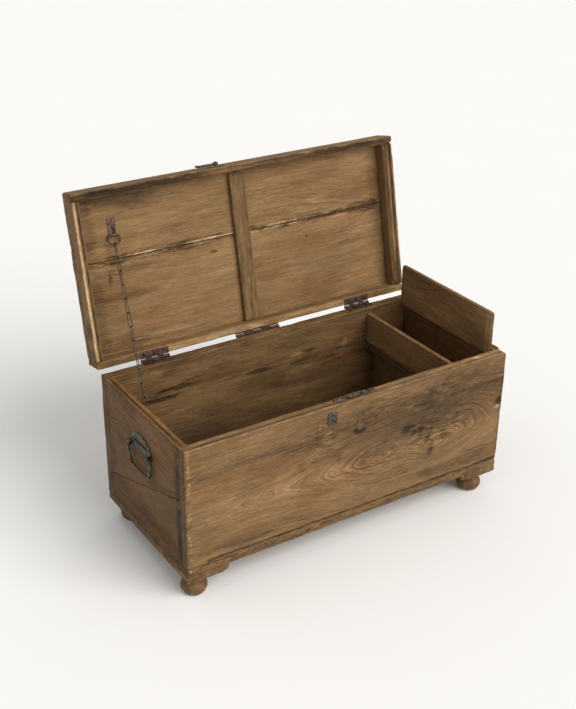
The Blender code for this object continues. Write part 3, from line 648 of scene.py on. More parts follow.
# ---- camera, light and floor -------------------------------------------------------------
def set_stage():
    """A pale floor, soft light from the front left, and the photograph's camera."""
    scene = bpy.context.scene
    scene.view_settings.view_transform = "Standard"
    world = bpy.data.worlds.new("studio")
    scene.world = world
    world.use_nodes = True
    world.node_tree.nodes["Background"].inputs[0].default_value = (1.0, 0.99, 0.975, 1.0)
    world.node_tree.nodes["Background"].inputs[1].default_value = SKY_STRENGTH

    bpy.ops.mesh.primitive_plane_add(size=60, location=(0, 0, -0.0005))
    floor = bpy.context.object
    floor.name = "floor"
    g = Graph("pale_floor")
    place = g.add("ShaderNodeTexCoord").outputs["Object"]
    mottle = g.noise(place, (3, 3, 3), 3.0)
    colour = g.mix(mottle, (0.93, 0.93, 0.925), (0.95, 0.95, 0.945))
    floor.data.materials.append(g.finish(colour, 0.85, 0.0, mottle, 0.0005, 0.2))

    sun = bpy.data.lights.new("key", "SUN")
    sun.energy = KEY_STRENGTH
    sun.angle = math.radians(KEY_SPREAD)
    sun.color = (1.0, 0.975, 0.94)
    lamp = bpy.data.objects.new("key", sun)
    scene.collection.objects.link(lamp)
    lamp.rotation_euler = Vector(KEY_AHEAD).to_track_quat("-Z", "Y").to_euler()

    camera = bpy.data.objects.new("camera", bpy.data.cameras.new("camera"))
    scene.collection.objects.link(camera)
    camera.data.lens = LENS
    forward = Vector(CAMERA_AHEAD).normalized()
    right = forward.cross(Vector((0, 0, 1))).normalized()
    up = right.cross(forward)
    right, up = right + up * CAMERA_ROLL, up - right * CAMERA_ROLL
    camera.matrix_world = Matrix.Translation(CASE @ Vector(CAMERA_PLACE)) @ Matrix(
        (right.normalized(), up.normalized(), -forward)
    ).transposed().to_4x4()
    scene.camera = camera


# ---- carcase ------------------------------------------------------------------------------
def at(x, z, node):
    """A place on a front or back board, given from the chest's left end and the ground."""
    low, high = node_box(node, CASE)
    middle = (low + high) / 2
    return x - middle.x, z - middle.z


def on(node, items, run="front"):
    """Places given in the case's frame, moved into a board's own frame."""
    low, high = node_box(node, CASE)
    middle = (low + high) / 2
    shift = (middle.x if run == "front" else middle.y, middle.z)
    moved = []
    for item in items:
        if len(item) == 7:
            ax, az, bx, bz = item[:4]
            moved.append((ax - shift[0], az - shift[1], bx - shift[0], bz - shift[1], *item[4:]))
        else:
            moved.append((item[0] - shift[0], item[1] - shift[1], *item[2:]))
    return moved


def groove(at_y, depth, seed):
    """A worn groove along the top of a board."""

    def carve(points, half):
        top = smooth(points[:, 2], half[2] - 0.002, half[2] - 0.0008)
        line = at_y + 0.001 * (noise(points, (9, 1, 1), seed) - 0.5)
        dip = smooth(np.abs(points[:, 1] - line), 0.0024, 0.0008)
        broken = 0.35 + 0.65 * noise(points, (35, 1, 1), seed + 3)
        return top * dip * depth * broken

    return carve


def seam_tight(side, share):
    """Keeps the edges sharp where a board meets its neighbour, on its upper (1) or lower (-1) side."""

    def ease(points, half):
        near = smooth(side * points[:, 2] / half[2], 0.2, 0.9)
        return 1 - near * (1 - share)

    return ease


HEART = (0.69, 0.236)  # middle of the figure in the front board


def make_front():
    """The marks lie in metres from the chest's left end and the ground, so both planks share them.

    A spot has its place, its reach along and across, its change of tone and its face. A score has both
    ends, its half width, its change of tone and its face.
    """
    lower, upper = "front_plank_lower", "front_plank_upper"
    knots = [
        (0.69, 0.285, 0.04, -0.03), (0.751, 0.202, 0.036, -0.026), (0.214, 0.236, 0.026, -0.02),
        (0.88, 0.3, 0.05, -0.03),
    ]
    marks = [
        (0.672, 0.292, 0.026, 0.012, -0.24, -1), (0.69, 0.276, 0.012, 0.01, -0.2, -1),
        (0.712, 0.272, 0.012, 0.02, -0.18, -1), (0.752, 0.208, 0.012, 0.026, -0.22, -1),
        (0.738, 0.24, 0.01, 0.014, -0.2, -1), (0.8, 0.232, 0.024, 0.014, -0.18, -1),
        (0.51, 0.338, 0.02, 0.01, -0.26, -1), (0.99, 0.29, 0.014, 0.012, -0.3, -1),
        (0.985, 0.27, 0.01, 0.006, 0.3, -1), (0.9, 0.13, 0.08, 0.022, -0.12, -1),
        (0.78, 0.13, 0.08, 0.018, -0.12, -1), (0.15, 0.13, 0.12, 0.016, -0.08, -1),
        (0.86, 0.33, 0.24, 0.08, -0.12, -1), (0.6, 0.32, 0.26, 0.09, -0.16, -1),
        (0.9, 0.4, 0.14, 0.026, -0.08, -1), (0.32, 0.2, 0.24, 0.06, 0.05, -1),
        (0.6, 0.35, 0.09, 0.018, 0.06, -1), (0.33, 0.35, 0.11, 0.016, -0.09, -1),
        (0.39, 0.384, 0.02, 0.008, 0.1, -1), (0.44, 0.42, 0.05, 0.01, 0.06, -1),
    ]
    scored = [
        (0.377, 0.393, 0.377, 0.34, 0.0011, -0.22, -1), (0.394, 0.386, 0.393, 0.35, 0.0008, -0.18, -1),
        (0.424, 0.372, 0.425, 0.336, 0.0009, -0.18, -1), (0.374, 0.326, 0.39, 0.322, 0.0016, 0.2, -1),
        (0.398, 0.336, 0.424, 0.333, 0.0014, 0.18, -1), (0.382, 0.392, 0.42, 0.386, 0.001, 0.14, -1),
        (0.559, 0.418, 0.563, 0.409, 0.0016, -0.24, -1), (0.559, 0.368, 0.56, 0.36, 0.0012, -0.32, -1),
        (0.06, 0.104, 0.99, 0.1, 0.004, -0.26, -1), (0.0, 0.098, 0.14, 0.093, 0.003, -0.24, -1),
        (0.3, 0.292, 0.48, 0.345, 0.0007, 0.14, -1), (0.3, 0.288, 0.42, 0.3, 0.0007, 0.14, -1),
        (0.42, 0.225, 0.72, 0.205, 0.0012, -0.14, -1), (0.79, 0.17, 0.96, 0.23, 0.001, -0.12, -1),
        (0.86, 0.16, 0.985, 0.15, 0.0014, -0.14, -1),
    ]
    scored += [
        (
            0.004 + 0.003 * (i % 3), 0.1 + 0.0155 * i, 0.014 + 0.004 * (i % 2), 0.106 + 0.0155 * i,
            0.0008, 0.22 if i % 4 else -0.2, -1,
        )
        for i in range(20)
    ]
    figure = [
        (0.6, 0.215, 0.2, 0.09, 1.0), (0.85, 0.255, 0.12, 0.085, 0.8),
        (0.33, 0.24, 0.12, 0.035, 0.7), (0.214, 0.234, 0.03, 0.026, 0.9),
    ]
    front_paint = {
        "tone": 0.55, "under": 0.0, "eye": 0.1, "point": 1.55, "rings": 210.0, "ring_tone": 0.13,
        "warp": 0.02, "grey": 0.05, "dirt_and_shade": 0.1, "dirt_and_shade_width": 0.02,
    }
    board(
        "front_board_lower", lower, "case", CASE, "front", seed=1,
        shape={"radius": 0.0016, "chips": 0.003, "ease": seam_tight(1, 0.1)},
        paint={
            **front_paint, "heart": on(lower, [HEART])[0], "knots": on(lower, knots),
            "spots": on(lower, marks),
            "cracks": on(lower, scored), "figure": on(lower, figure), "edge": 0.04, "edge_width": 0.003,
            "strips": ((0, -0.492, 0.007, 0.5, 0.6, 0.14, -1),),
        },
        corners=((1, -1, CORNER_WEAR),),
    )
    plate = node_box("lock_plate", CASE)
    rim = [
        (0.18, 0.002, 0.34, 0.006, 0.06, 2), (0.33, 0.0, 0.11, 0.01, 0.14, 2),
        (-0.25, -0.006, 0.3, 0.005, -0.12, 2),
    ]
    rim += [(0.44, 0.004, 0.08, 0.01, 0.16, 2), (-0.42, 0.006, 0.1, 0.006, 0.12, 2)]
    board_top = board(
        "front_board_upper", upper, "case", CASE, "front", seed=2,
        shape={"radius": 0.0022, "chips": 0.004, "ragged": 0.002, "ease": seam_tight(-1, 0.1)},
        paint={
            **front_paint, "heart": on(upper, [HEART])[0], "spots": on(upper, marks) + rim,
            "cracks": on(upper, scored), "edge": 0.07, "edge_width": 0.004, "dirt_and_shade": 0.05,
            "strips": (
                # The first strip is painted shade along the groove in the top face.
                (1, -0.0056, 0.0016, 0.3, 0.44, -0.24, 2), (1, -0.0115, 0.0036, 0.44, 0.58, 0.16, 2),
                (1, 0.006, 0.005, 0.46, 0.6, 0.1, 2), (0, -0.492, 0.007, 0.5, 0.6, 0.14, -1),
            ),
        },
        corners=((1, 1, CORNER_WEAR),),
        carve=groove(-0.0052, 0.0024, 21), extra={"y": (-0.0076, -0.0064, -0.0052, -0.004, -0.0028)},
    )
    slack = Vector((SEAT_GAP, SEAT_GAP, SEAT_GAP))
    holes = [(plate[0] - slack, plate[1] + Vector((SEAT_GAP, SEAT_GAP, PAST)))]
    for x in LOCK_SLOTS:
        near_side, far_side = SLOT_DEPTHWISE
        holes.append(((x - SLOT_HALF, near_side, RIM - SLOT_DEEP), (x + SLOT_HALF, far_side, RIM + PAST)))
    carve_out(board_top, holes, CASE)


def make_back():
    """The back boards, with water marks and pale rubs inside, and painted shade low on the inside face."""
    back_marks = [
        (0.3, 0.402, 0.13, 0.014, 0.1, -1), (0.13, 0.408, 0.06, 0.012, 0.12, -1),
        (0.1, 0.33, 0.12, 0.01, -0.26, -1), (0.215, 0.352, 0.07, 0.007, -0.22, -1),
        (0.48, 0.33, 0.05, 0.008, -0.16, -1), (0.59, 0.35, 0.03, 0.006, 0.2, -1),
        (0.64, 0.352, 0.026, 0.006, -0.22, -1), (0.62, 0.322, 0.05, 0.014, -0.16, -1),
        (0.76, 0.345, 0.016, 0.014, 0.18, -1), (0.7, 0.3, 0.06, 0.04, -0.07, -1),
        # The last mark, a wide dark band low on the inside face, is painted shade in the bottom of the chest.
        (0.48, 0.29, 0.1, 0.03, -0.07, -1), (0.4, 0.15, 0.5, 0.06, -0.1, -1),
    ]
    back_cracks = [
        (0.02, 0.3, 0.17, 0.352, 0.0022, -0.24, -1), (0.17, 0.352, 0.3, 0.372, 0.0016, -0.2, -1),
        (0.52, 0.388, 0.66, 0.382, 0.0012, -0.2, -1),
    ]
    inside = {
        "tone": 0.49, "heart": (0.1, -0.2), "under": 0.06, "tilt": 0.05, "ring_tone": 0.1, "grey": 0.06,
        "edge": 0.05, "dirt_and_shade": 0.08, "patch": 0.36,
    }
    for node, name, seed, side in (
        ("back_plank_lower", "back_board_lower", 3, 1), ("back_plank_upper", "back_board_upper", 4, -1),
    ):
        made = board(
            name, node, "case", CASE, "front", seed=seed,
            shape={"radius": 0.0022, "chips": 0.003, "ease": seam_tight(side, 0.4)},
            paint={**inside, "spots": on(node, back_marks), "cracks": on(node, back_cracks)},
        )
    carve_out(made, hinge_seats("case"), CASE)


def hinge_seats(role):
    """Recesses for the two butt hinges' leaves."""
    if role == "case":
        place, bottom, top = CASE, RIM - CASE_SEAT_DEPTH, RIM + PAST
    else:
        place, bottom, top = LID, -PAST, LID_SEAT_DEPTH
    seats = []
    for side in ("left", "right"):
        low, high = node_box(f"hinge_{side}_{role}_leaf", place)
        corner = (low.x - SEAT_GAP, low.y - SEAT_GAP, bottom)
        seats.append((corner, (high.x + SEAT_GAP, high.y + 2 * PAST, top)))
    return seats


def make_ends():
    """Two planks at each end. The seam between the left ones slopes, and the marks face outwards."""
    for side, seed in (("left", 6), ("right", 8)):
        lower, upper = f"{side}_end_plank_lower", f"{side}_end_plank_upper"
        low_box, up_box = node_box(lower, CASE), node_box(upper, CASE)
        if side == "left":
            fall = (low_box[1].z - up_box[0].z) / (low_box[1].y - low_box[0].y)
        else:
            fall = 0.0
        outer = 1 if side == "left" else -1
        marks = [
            (0.04, 0.34, 0.016, 0.07, -0.14, outer), (0.04, 0.2, 0.012, 0.07, -0.14, outer),
            (0.23, 0.318, 0.05, 0.03, -0.1, outer), (0.232, 0.318, 0.034, 0.02, 0.05, outer),
            (0.2, 0.4, 0.06, 0.02, 0.08, outer), (0.33, 0.3, 0.06, 0.018, -0.09, outer),
            (0.14, 0.13, 0.13, 0.022, -0.09, outer), (0.42, 0.22, 0.03, 0.09, -0.07, outer),
            (0.11, 0.3, 0.06, 0.04, 0.07, outer), (0.28, 0.19, 0.12, 0.04, 0.05, outer),
        ]
        cracks = [
            (0.03, 0.395, 0.11, 0.3, 0.0007, 0.16, outer), (0.06, 0.3, 0.15, 0.262, 0.0006, 0.14, outer),
            (0.15, 0.2, 0.09, 0.15, 0.0006, 0.12, outer), (0.1, 0.276, 0.04, 0.3, 0.0012, -0.2, outer),
            (0.016, 0.3, 0.09, 0.262, 0.0014, -0.22, outer), (0.29, 0.36, 0.42, 0.33, 0.001, -0.16, outer),
            (0.13, 0.386, 0.133, 0.372, 0.0014, 0.26, outer),
            (0.18, 0.13, 0.4, 0.116, 0.0012, -0.14, outer), (0.03, 0.43, 0.031, 0.1, 0.0018, -0.24, outer),
        ]
        near = -(low_box[1].y - low_box[0].y) / 2
        paint = {
            "tone": 0.4, "heart": (0.0, -0.35), "under": 0.1, "tilt": 0.03, "rings": 190.0,
            "ring_tone": 0.08, "grey": 0.0, "dirt_and_shade": 0.07, "red": 0.35, "streak": 0.34, "fibre": 0.26,
            "tint": (0.98, 0.88, 0.72),
            "strips": (
                (0, near + 0.012, 0.01, 0.5, 0.6, -0.18, outer),
                (0, near + 0.004, 0.004, 0.48, 0.58, 0.14, outer),
            ),
        }

        def slant(points_x, half, fall=fall, top_side=True):
            drop = fall * (points_x + half[0])
            if top_side:
                return np.full_like(points_x, -half[2]), half[2] - drop
            return -half[2] + fall * (half[0] - points_x), np.full_like(points_x, half[2])

        board(
            f"{side}_end_board_lower", lower, "case", CASE, "end", seed=seed,
            shape={"radius": 0.0018, "ragged": 0.0026, "chips": 0.003},
            paint={
                **paint, "spots": on(lower, marks, "end"), "cracks": on(lower, cracks, "end"), "edge": 0.03,
                "edge_width": 0.003,
            },
            slope=slant, corners=((1, -1, 0.014),),
        )
        board(
            f"{side}_end_board_upper", upper, "case", CASE, "end", seed=seed + 1,
            shape={"radius": 0.0022, "ragged": 0.0026, "chips": 0.003},
            paint={
                **paint, "tone": 0.42,
                "spots": on(upper, marks, "end") + [
                    (0.0, -0.006 * outer, 0.3, 0.006, 0.2, 2), (0.0, 0.008 * outer, 0.3, 0.004, 0.1, 2),
                ],
                "cracks": on(upper, cracks, "end"), "edge": 0.08,
                "strips": paint["strips"] + (
                    # This dark strip is painted shade along the groove in the top face.
                    (1, 0.0035 * outer, 0.0018, 0.4, 0.5, -0.24, 2),
                    (1, 0.009 * outer, 0.003, 0.4, 0.54, 0.12, 2),
                ),
            },
            slope=lambda px, half, f=slant: f(px, half, top_side=False),
            carve=groove(0.0035 * outer, 0.002, seed + 22),
            extra={"y": tuple(outer * v for v in (0.0011, 0.0023, 0.0035, 0.0047, 0.0059))},
        )


def make_base():
    """The floor boards and the two runners below them, hollowed on their inner side."""
    for name, seed in (("front", 11), ("back", 12)):
        board(
            f"base_board_{name}", f"floor_board_{name}", "case", CASE, "flat", seed=seed,
            shape={"radius": 0.003, "ragged": 0.003, "chips": 0.005},
            paint={"tone": 0.5, "edge": 0.06, "edge_width": 0.005, "grey": 0.06, "dirt_and_shade": 0.12},
        )

    def inner_curve(sign):
        def ease(points, half):
            inner = smooth(sign * points[:, 2] / half[2], 0.6, 0.9)
            return 1 + inner * smooth(-points[:, 1] / half[1], -0.6, 0.2) * 3.5

        return ease

    for name, sign, seed in (("left", 1, 13), ("right", -1, 14)):
        board(
            f"runner_{name}", f"cleat_{name}", "case", CASE, "cross", seed=seed,
            shape={"radius": 0.0026, "ragged": 0.002, "chips": 0.004, "ease": inner_curve(sign)},
            paint={"tone": 0.52, "end_tone": 0.0, "edge": 0.08, "grey": 0.08},
        )


def make_till():
    """The small compartment at the right, with its own lid."""
    dark = {"tone": 0.47, "grey": 0.06, "heart": (0.0, -0.25), "edge": 0.1, "dirt_and_shade": 0.07}
    board(
        "till_side_board", "till_side", "case", CASE, "end", seed=15,
        shape={"radius": 0.0018, "ragged": 0.0015},
        paint={
            **dark, "tone": 0.58, "edge": 0.14, "edge_width": 0.005,
            "cracks": ((-0.03, 0.01, -0.024, -0.008, 0.001, 0.25, 1),),
        },
    )
    board(
        "till_floor_board", "till_floor", "case", CASE, "cross", seed=16, shape={"radius": 0.002},
        paint={**dark, "tone": 0.36, "edge": 0.1},
    )
    board(
        "till_partition_board", "till_lower_partition", "case", CASE, "end", seed=17,
        paint={**dark, "tone": 0.45},
    )
    between = (
        node_box("front_plank_upper", CASE)[1].y + 0.0012, node_box("back_plank_upper", CASE)[0].y - 0.0012,
    )
    board(
        "till_cover", "till_lid", "till_lid", CASE, "end", seed=18, reach_y=between,
        shape={"radius": 0.0022, "ragged": 0.002, "chips": 0.003, "ease": till_corner},
        paint={
            "tone": 0.54, "grey": 0.06, "heart": (0.35, -0.3), "under": 0.1, "tilt": 0.45, "rings": 190.0,
            "ring_tone": 0.07, "edge": 0.1, "edge_width": 0.003, "patch": 0.3, "streak": 0.34,
            "dirt_and_shade": 0.06,
            "spots": (
                (-0.16, 0.05, 0.05, 0.01, 0.14, 1), (-0.185, 0.0, 0.01, 0.07, 0.12, 1),
                (0.0, 0.0, 0.4, 0.02, 0.06, 2),
            ),
            "cracks": (
                (0.04, 0.04, 0.11, 0.02, 0.0012, -0.24, 1), (0.06, 0.046, 0.1, 0.05, 0.001, -0.2, 1),
                (0.11, 0.03, 0.13, 0.01, 0.0012, -0.22, 1), (-0.14, 0.0, 0.02, 0.018, 0.001, -0.18, 1),
                (-0.15, 0.03, -0.05, 0.046, 0.0007, 0.14, 1), (-0.17, 0.02, -0.12, 0.034, 0.0007, 0.14, 1),
            ),
        },
    )


def till_corner(points, half):
    """The till lid's top corners are rubbed round."""
    top = smooth(points[:, 2] / half[2], 0.8, 0.97)
    return 1 + top * smooth(np.abs(points[:, 0]) / half[0], 0.95, 0.995) * 1.6


# ---- lid -----------------------------------------------------------------------------------
LID_PAINT = {
    "tone": 0.6, "heart": (0.0, 0.35), "under": 0.06, "tilt": 0.05, "ring_tone": 0.1, "grey": 0.03,
    "red": 0.3, "dirt_and_shade": 0.1,
}


def make_lid_boards():
    """Two wide boards with a torn and filled seam between them."""

    def ragged_seam(side):
        def ease(points, half):
            near = smooth(side * points[:, 2] / half[2], 0.8, 0.99)
            inside = smooth(points[:, 1] / half[1], -0.2, 0.6)
            broken = 0.25 + 1.5 * noise(points, (30, 3, 3), 77) ** 2
            return 1 + near * (inside * broken + (1 - inside) * 0.25 - 1)

        return ease

    for name, side, seed in (("front", 1, 31), ("back", -1, 32)):
        low, high = node_box(f"lid_plank_{name}", LID)
        half_x, half_z = (high.x - low.x) / 2, (high.y - low.y) / 2
        seam = side * half_z
        away = -side

        def near(x, off):
            return x - half_x, seam + away * off

        spots = [
            (*near(0.105, 0.006), 0.035, 0.007, -0.26, 1),
            (*near(0.075, 0.004), 0.03, 0.004, 0.2, 1),
            (*near(0.2, 0.004), 0.04, 0.003, 0.2, 1),
            (*near(0.33, 0.007), 0.06, 0.008, -0.24, 1),
            (*near(0.365, 0.004), 0.05, 0.005, 0.26, 1),
            (*near(0.62, 0.004), 0.06, 0.003, 0.24, 1),
            (*near(0.76, 0.005), 0.06, 0.005, -0.2, 1),
            (*near(0.9, 0.007), 0.07, 0.01, -0.24, 1),
            (*near(0.82, 0.01), 0.09, 0.004, 0.16, 1),
            (-half_x + 0.045, 0.0, 0.022, half_z, -0.1, 1),
            (half_x - 0.045, 0.0, 0.03, half_z, -0.1, 1),
            (-half_x + 0.12, away * (half_z - 0.04), 0.12, 0.016, -0.14, 1),
        ]
        cracks = [
            (*near(0.06, 0.004), *near(0.47, 0.0036), 0.0014, 0.24 if name == "front" else -0.16, 1),
            (*near(0.52, 0.0036), *near(0.94, 0.0044), 0.0012, 0.22 if name == "front" else -0.18, 1),
        ]
        figure = []
        if name == "back":
            spots += [
                (-half_x + 0.22, half_z - 0.046, 0.14, 0.008, 0.12, 1),
                (-half_x + 0.088, -half_z + 0.05, 0.007, 0.02, -0.2, 1),
                (-half_x + 0.4, -half_z + 0.034, 0.012, 0.005, -0.26, 1),
                (-half_x + 0.12, -half_z + 0.1, 0.11, 0.012, -0.13, 1),
                (-half_x + 0.16, -half_z + 0.03, 0.08, 0.01, -0.1, 1),
                (half_x - 0.2, half_z - 0.09, 0.26, 0.03, 0.03, 1),
                (half_x - 0.3, -half_z + 0.05, 0.005, 0.004, -0.3, 1),
            ]
            figure = [(half_x - 0.12, -half_z + 0.07, 0.12, 0.05, 0.9)]
        else:
            spots += [
                (half_x - 0.2, half_z - 0.03, 0.16, 0.02, 0.05, 1),
                (-half_x + 0.13, -half_z + 0.05, 0.14, 0.024, -0.1, 1),
            ]
            figure = [
                (half_x - 0.3, half_z - 0.04, 0.16, 0.036, 0.9),
                (-half_x + 0.3, half_z - 0.06, 0.16, 0.04, 0.5),
            ]
        seam_and_bead_lines = (
            (2, seam, 0.0022, 0.34, 0.46, -0.3, 1), (2, seam + away * 0.004, 0.0045, 0.53, 0.6, 0.24, 1),
            (2, seam + away * 0.007, 0.007, 0.55, 0.63, -0.2, 1),
            # Near the right end, a pale strip and a dark line are painted where a bead's lit edge and its shadow
            # line would be.
            (0, half_x - 0.027, 0.0035, 0.4, 0.55, 0.12, 1),
            (0, half_x - 0.0315, 0.0022, 0.4, 0.52, -0.22, 1),
        )
        board(
            f"lid_board_{name}", f"lid_plank_{name}", "lid", LID, "flat", seed=seed,
            shape={
                "radius": 0.005, "ragged": 0.0024, "chips": 0.004, "ease": ragged_seam(side),
                "least": -side,
            },
            paint={
                **LID_PAINT, "spots": spots, "cracks": cracks, "figure": figure, "strips": seam_and_bead_lines,
                "edge": 0.06, "edge_width": 0.004, "end_tone": -0.06, "tilt": 0.1, "under": 0.02,
                "heart": (half_x - 0.25, side * half_z),
            },
        )


def make_lid_rails():
    """The frame round the lid. The right rail is wide, with a sloping inner face."""

    def inner_step(sign, planed):
        """The rails' inner arris is planed away."""

        def ease(points, half):
            inner = smooth(sign * points[:, 1] / half[1], 0.2, 0.9)
            return 1 + inner * smooth(-points[:, 2] / half[2], 0.3, 0.9) * planed

        return ease

    low, high = node_box("lid_rail_front", LID)
    long_half, deep = (high.x - low.x) / 2, (high.y - low.y) / 2
    rail_marks = {
        "front": [
            # The front rail's rim face is darker along its whole length, most on its half next to the panel.
            (0.0, -0.004, long_half * 2.2, deep * 0.5, -0.1, -2),
            (0.0, 0.004, long_half * 2.2, deep * 1.1, -0.2, -2), (-0.33, 0.0, 0.2, deep * 1.5, -0.14, -2),
            (0.34, 0.0, 0.18, deep * 1.5, -0.14, -2),
            (-0.04, 0.0, 0.1, deep, 0.16, -2), (0.12, 0.002, 0.1, deep * 0.6, 0.1, -2),
        ],
        "back": [
            (-0.22, 0.0, 0.2, deep, 0.12, -2), (0.2, -0.004, 0.16, deep * 0.6, 0.14, -2),
            (-0.42, 0.004, 0.1, deep, -0.14, -2), (-0.02, 0.0, 0.04, 0.008, 0.18, -2),
        ],
        "left": [
            (0.0, -0.003, 0.6, 0.0022, -0.26, -2), (0.0, 0.0065, 0.6, 0.005, 0.16, -2),
            (0.13, -0.002, 0.034, 0.022, -0.24, 1), (0.2, 0.0, 0.03, 0.03, -0.18, 1),
        ],
        "right": [
            (0.0, 0.0, 0.6, 0.007, -0.2, -2), (-0.1, 0.003, 0.1, 0.003, 0.28, -2),
            (0.05, 0.003, 0.1, 0.003, 0.2, -2),
        ],
    }
    worn = {
        "front": ((1, -deep * 0.5, 0.004, 0.48, 0.6, 0.12, -2),),
        "back": ((1, deep * 0.4, 0.004, 0.46, 0.6, 0.12, -2),),
        "left": ((1, 0.0068, 0.0036, 0.3, 0.5, 0.2, -2), (1, -0.001, 0.0026, 0.36, 0.5, -0.24, -2)),
        "right": (
            (1, -0.012, 0.0026, 0.44, 0.56, 0.24, -2), (1, -0.004, 0.007, 0.36, 0.5, -0.2, -2),
            (2, -0.008, 0.004, 0.46, 0.58, 0.1, 1),
        ),
    }
    rails = (
        ("front", "front", 1, 33, 0.54), ("back", "front", -1, 34, 0.56), ("left", "end", -1, 35, 0.53),
        ("right", "end", 1, 36, 0.53),
    )
    for name, run, sign, seed, tone in rails:
        made = board(
            f"lid_frame_{name}", f"lid_rail_{name}", "lid", LID, run, seed=seed,
            shape={
                "radius": 0.0022, "ragged": 0.0018, "chips": 0.003,
                "ease": inner_step(sign, 5.5 if name == "right" else 2.0),
            },
            paint={
                **LID_PAINT, "tone": tone, "edge": 0.11, "edge_width": 0.004, "dirt_and_shade": 0.06,
                "dirt_and_shade_width": 0.006, "spots": rail_marks[name], "strips": worn[name],
            },
        )
        if name == "back":
            carve_out(made, hinge_seats("lid"), LID)


def make_lid_crossbar():
    """The bar across the seam, at the middle of the lid."""
    board(
        "lid_crossbar", "lid_batten", "lid", LID, "cross", seed=37,
        shape={"radius": 0.0016, "ragged": 0.0012},
        paint={
            **LID_PAINT, "tone": 0.55, "edge": 0.02, "edge_width": 0.003, "dirt_and_shade": 0.12,
            "dirt_and_shade_width": 0.01,
            "cracks": (
                (-0.2, 0.006, 0.2, 0.004, 0.0008, -0.16, -1), (-0.2, -0.008, 0.2, -0.006, 0.0008, 0.14, -1),
                (0.09, 0.002, 0.12, 0.0, 0.0016, 0.24, -1),
            ),
        },
    )


# ---- feet ------------------------------------------------------------------------------------
def make_feet():
    """Turned buns: a neck ring, a waist and a squat ball that the floor cuts off."""
    for number, corner in enumerate(("front_left", "front_right", "back_left", "back_right")):
        node = f"foot_{corner}"
        low, high = node_box(node, CASE)
        middle = (low + high) / 2
        wide = (high.x - low.x) / 2
        tall = high.z - low.z
        outline = [
            (0.0, 1.0), (0.76, 1.0), (0.765, 0.965), (0.81, 0.955), (0.845, 0.93), (0.855, 0.9),
            (0.845, 0.87), (0.8, 0.845),
        ]
        outline += [(0.69, 0.828), (0.66, 0.795), (0.72, 0.765)]
        for i in range(15):
            angle = math.radians(52 - 108 * i / 14)
            outline.append((0.995 * math.cos(angle) ** 0.62, 0.37 + 0.45 * math.sin(angle)))
        outline = [o for o in outline if o[1] > 0.012]
        outline += [(outline[-1][0] * 0.97, 0.006), (outline[-1][0] * 0.93, 0.0), (0.0, 0.0)]
        points, faces = [], []
        around = 56
        for radius, height in outline:
            for k in range(around):
                angle = 2 * math.pi * k / around
                points.append(
                    (radius * wide * math.cos(angle), radius * wide * math.sin(angle), height * tall),
                )
        points = np.array(points)
        ring = np.linalg.norm(points[:, :2], axis=1)
        inward = 1 - 0.03 * fbm(points, 60, 50 + number) - 0.05 * smooth(
            noise(points, 90, 60 + number), 0.68, 0.85,
        )
        points[:, :2] *= np.where(ring > 0, inward, 1)[:, None]
        rows = len(outline)
        for i in range(1, rows - 2):
            for k in range(around):
                m = (k + 1) % around
                faces.append((i * around + k, (i + 1) * around + k, (i + 1) * around + m, i * around + m))
        faces.append([around + k for k in range(around)])
        faces.append([(rows - 2) * around + k for k in reversed(range(around))])
        mesh = make_mesh(f"bun_{corner}", points, faces)
        obj = bpy.data.objects.new(f"bun_{corner}", mesh)
        bpy.context.scene.collection.objects.link(obj)
        bm = bmesh.new()
        bm.from_mesh(mesh)
        bmesh.ops.delete(bm, geom=[v for v in bm.verts if not v.link_faces], context="VERTS")
        bmesh.ops.recalc_face_normals(bm, faces=bm.faces[:])
        bm.to_mesh(mesh)
        bm.free()
        obj.matrix_world = CASE @ Matrix.Translation((middle.x, middle.y, 0))
        mesh.materials.append(turned_wood(f"turned_{corner}", tall, number))
        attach(obj, "case")
        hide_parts(node)


def turned_wood(name, tall, number):
    """Lathe-turned wood, dusty on the neck ring and rubbed near the floor."""
    g = Graph(name)
    place = g.add("ShaderNodeTexCoord").outputs["Object"]
    moved = g.vector("ADD", place, (number * 3.1, number * 1.7, number))
    grain = g.noise(moved, (180, 180, 26), 4.0, 0.6)
    patch = g.noise(moved, (40, 40, 60), 3.0)
    lathe = g.noise(moved, (6, 6, 700), 2.0)
    tone = g.times_plus(grain, 0.62, g.times_plus(patch, 0.46, -0.11))
    colour = g.ramp(tone, TONES)
    colour = g.mix(0.35, colour, (0.38, 0.16, 0.07), "SOFT_LIGHT")
    _, _, z = g.split(place)
    ring = g.times(g.span(z, tall * 0.8, tall * 0.84), g.span(grain, 0.35, 0.6))
    colour = g.mix(g.times(ring, 0.6), colour, (0.2, 0.175, 0.145))
    wear = g.times(g.span(z, tall * 0.24, tall * 0.1), g.span(patch, 0.4, 0.6))
    colour = g.mix(g.times(wear, 0.55), colour, (0.42, 0.26, 0.13))
    height = g.times_plus(lathe, 0.5, grain)
    return g.finish(colour, g.span(grain, 0.3, 0.7, 0.48, 0.7), 0.0, height, 0.0008)


# ---- ironwork -----------------------------------------------------------------------------------
def dress(node, material, bevel=0.0, subdivide=0, smooth_angle=40):
    """A CAD piece keeps its shape, with eased edges and a finished surface."""
    obj = NODES[node]
    obj.data.materials.clear()
    obj.data.materials.append(material)
    weld = obj.modifiers.new("weld", "WELD")
    weld.merge_threshold = 0.00002
    if bevel:
        ease = obj.modifiers.new("ease", "BEVEL")
        ease.width = bevel
        ease.segments = 2
        ease.limit_method = "ANGLE"
        ease.angle_limit = math.radians(35)
        ease.harden_normals = False
    if subdivide:
        more = obj.modifiers.new("round", "SUBSURF")
        more.levels = subdivide
        more.render_levels = subdivide
    obj.data.polygons.foreach_set("use_smooth", [True] * len(obj.data.polygons))
    if not subdivide:
        obj.data.set_sharp_from_angle(angle=math.radians(smooth_angle))


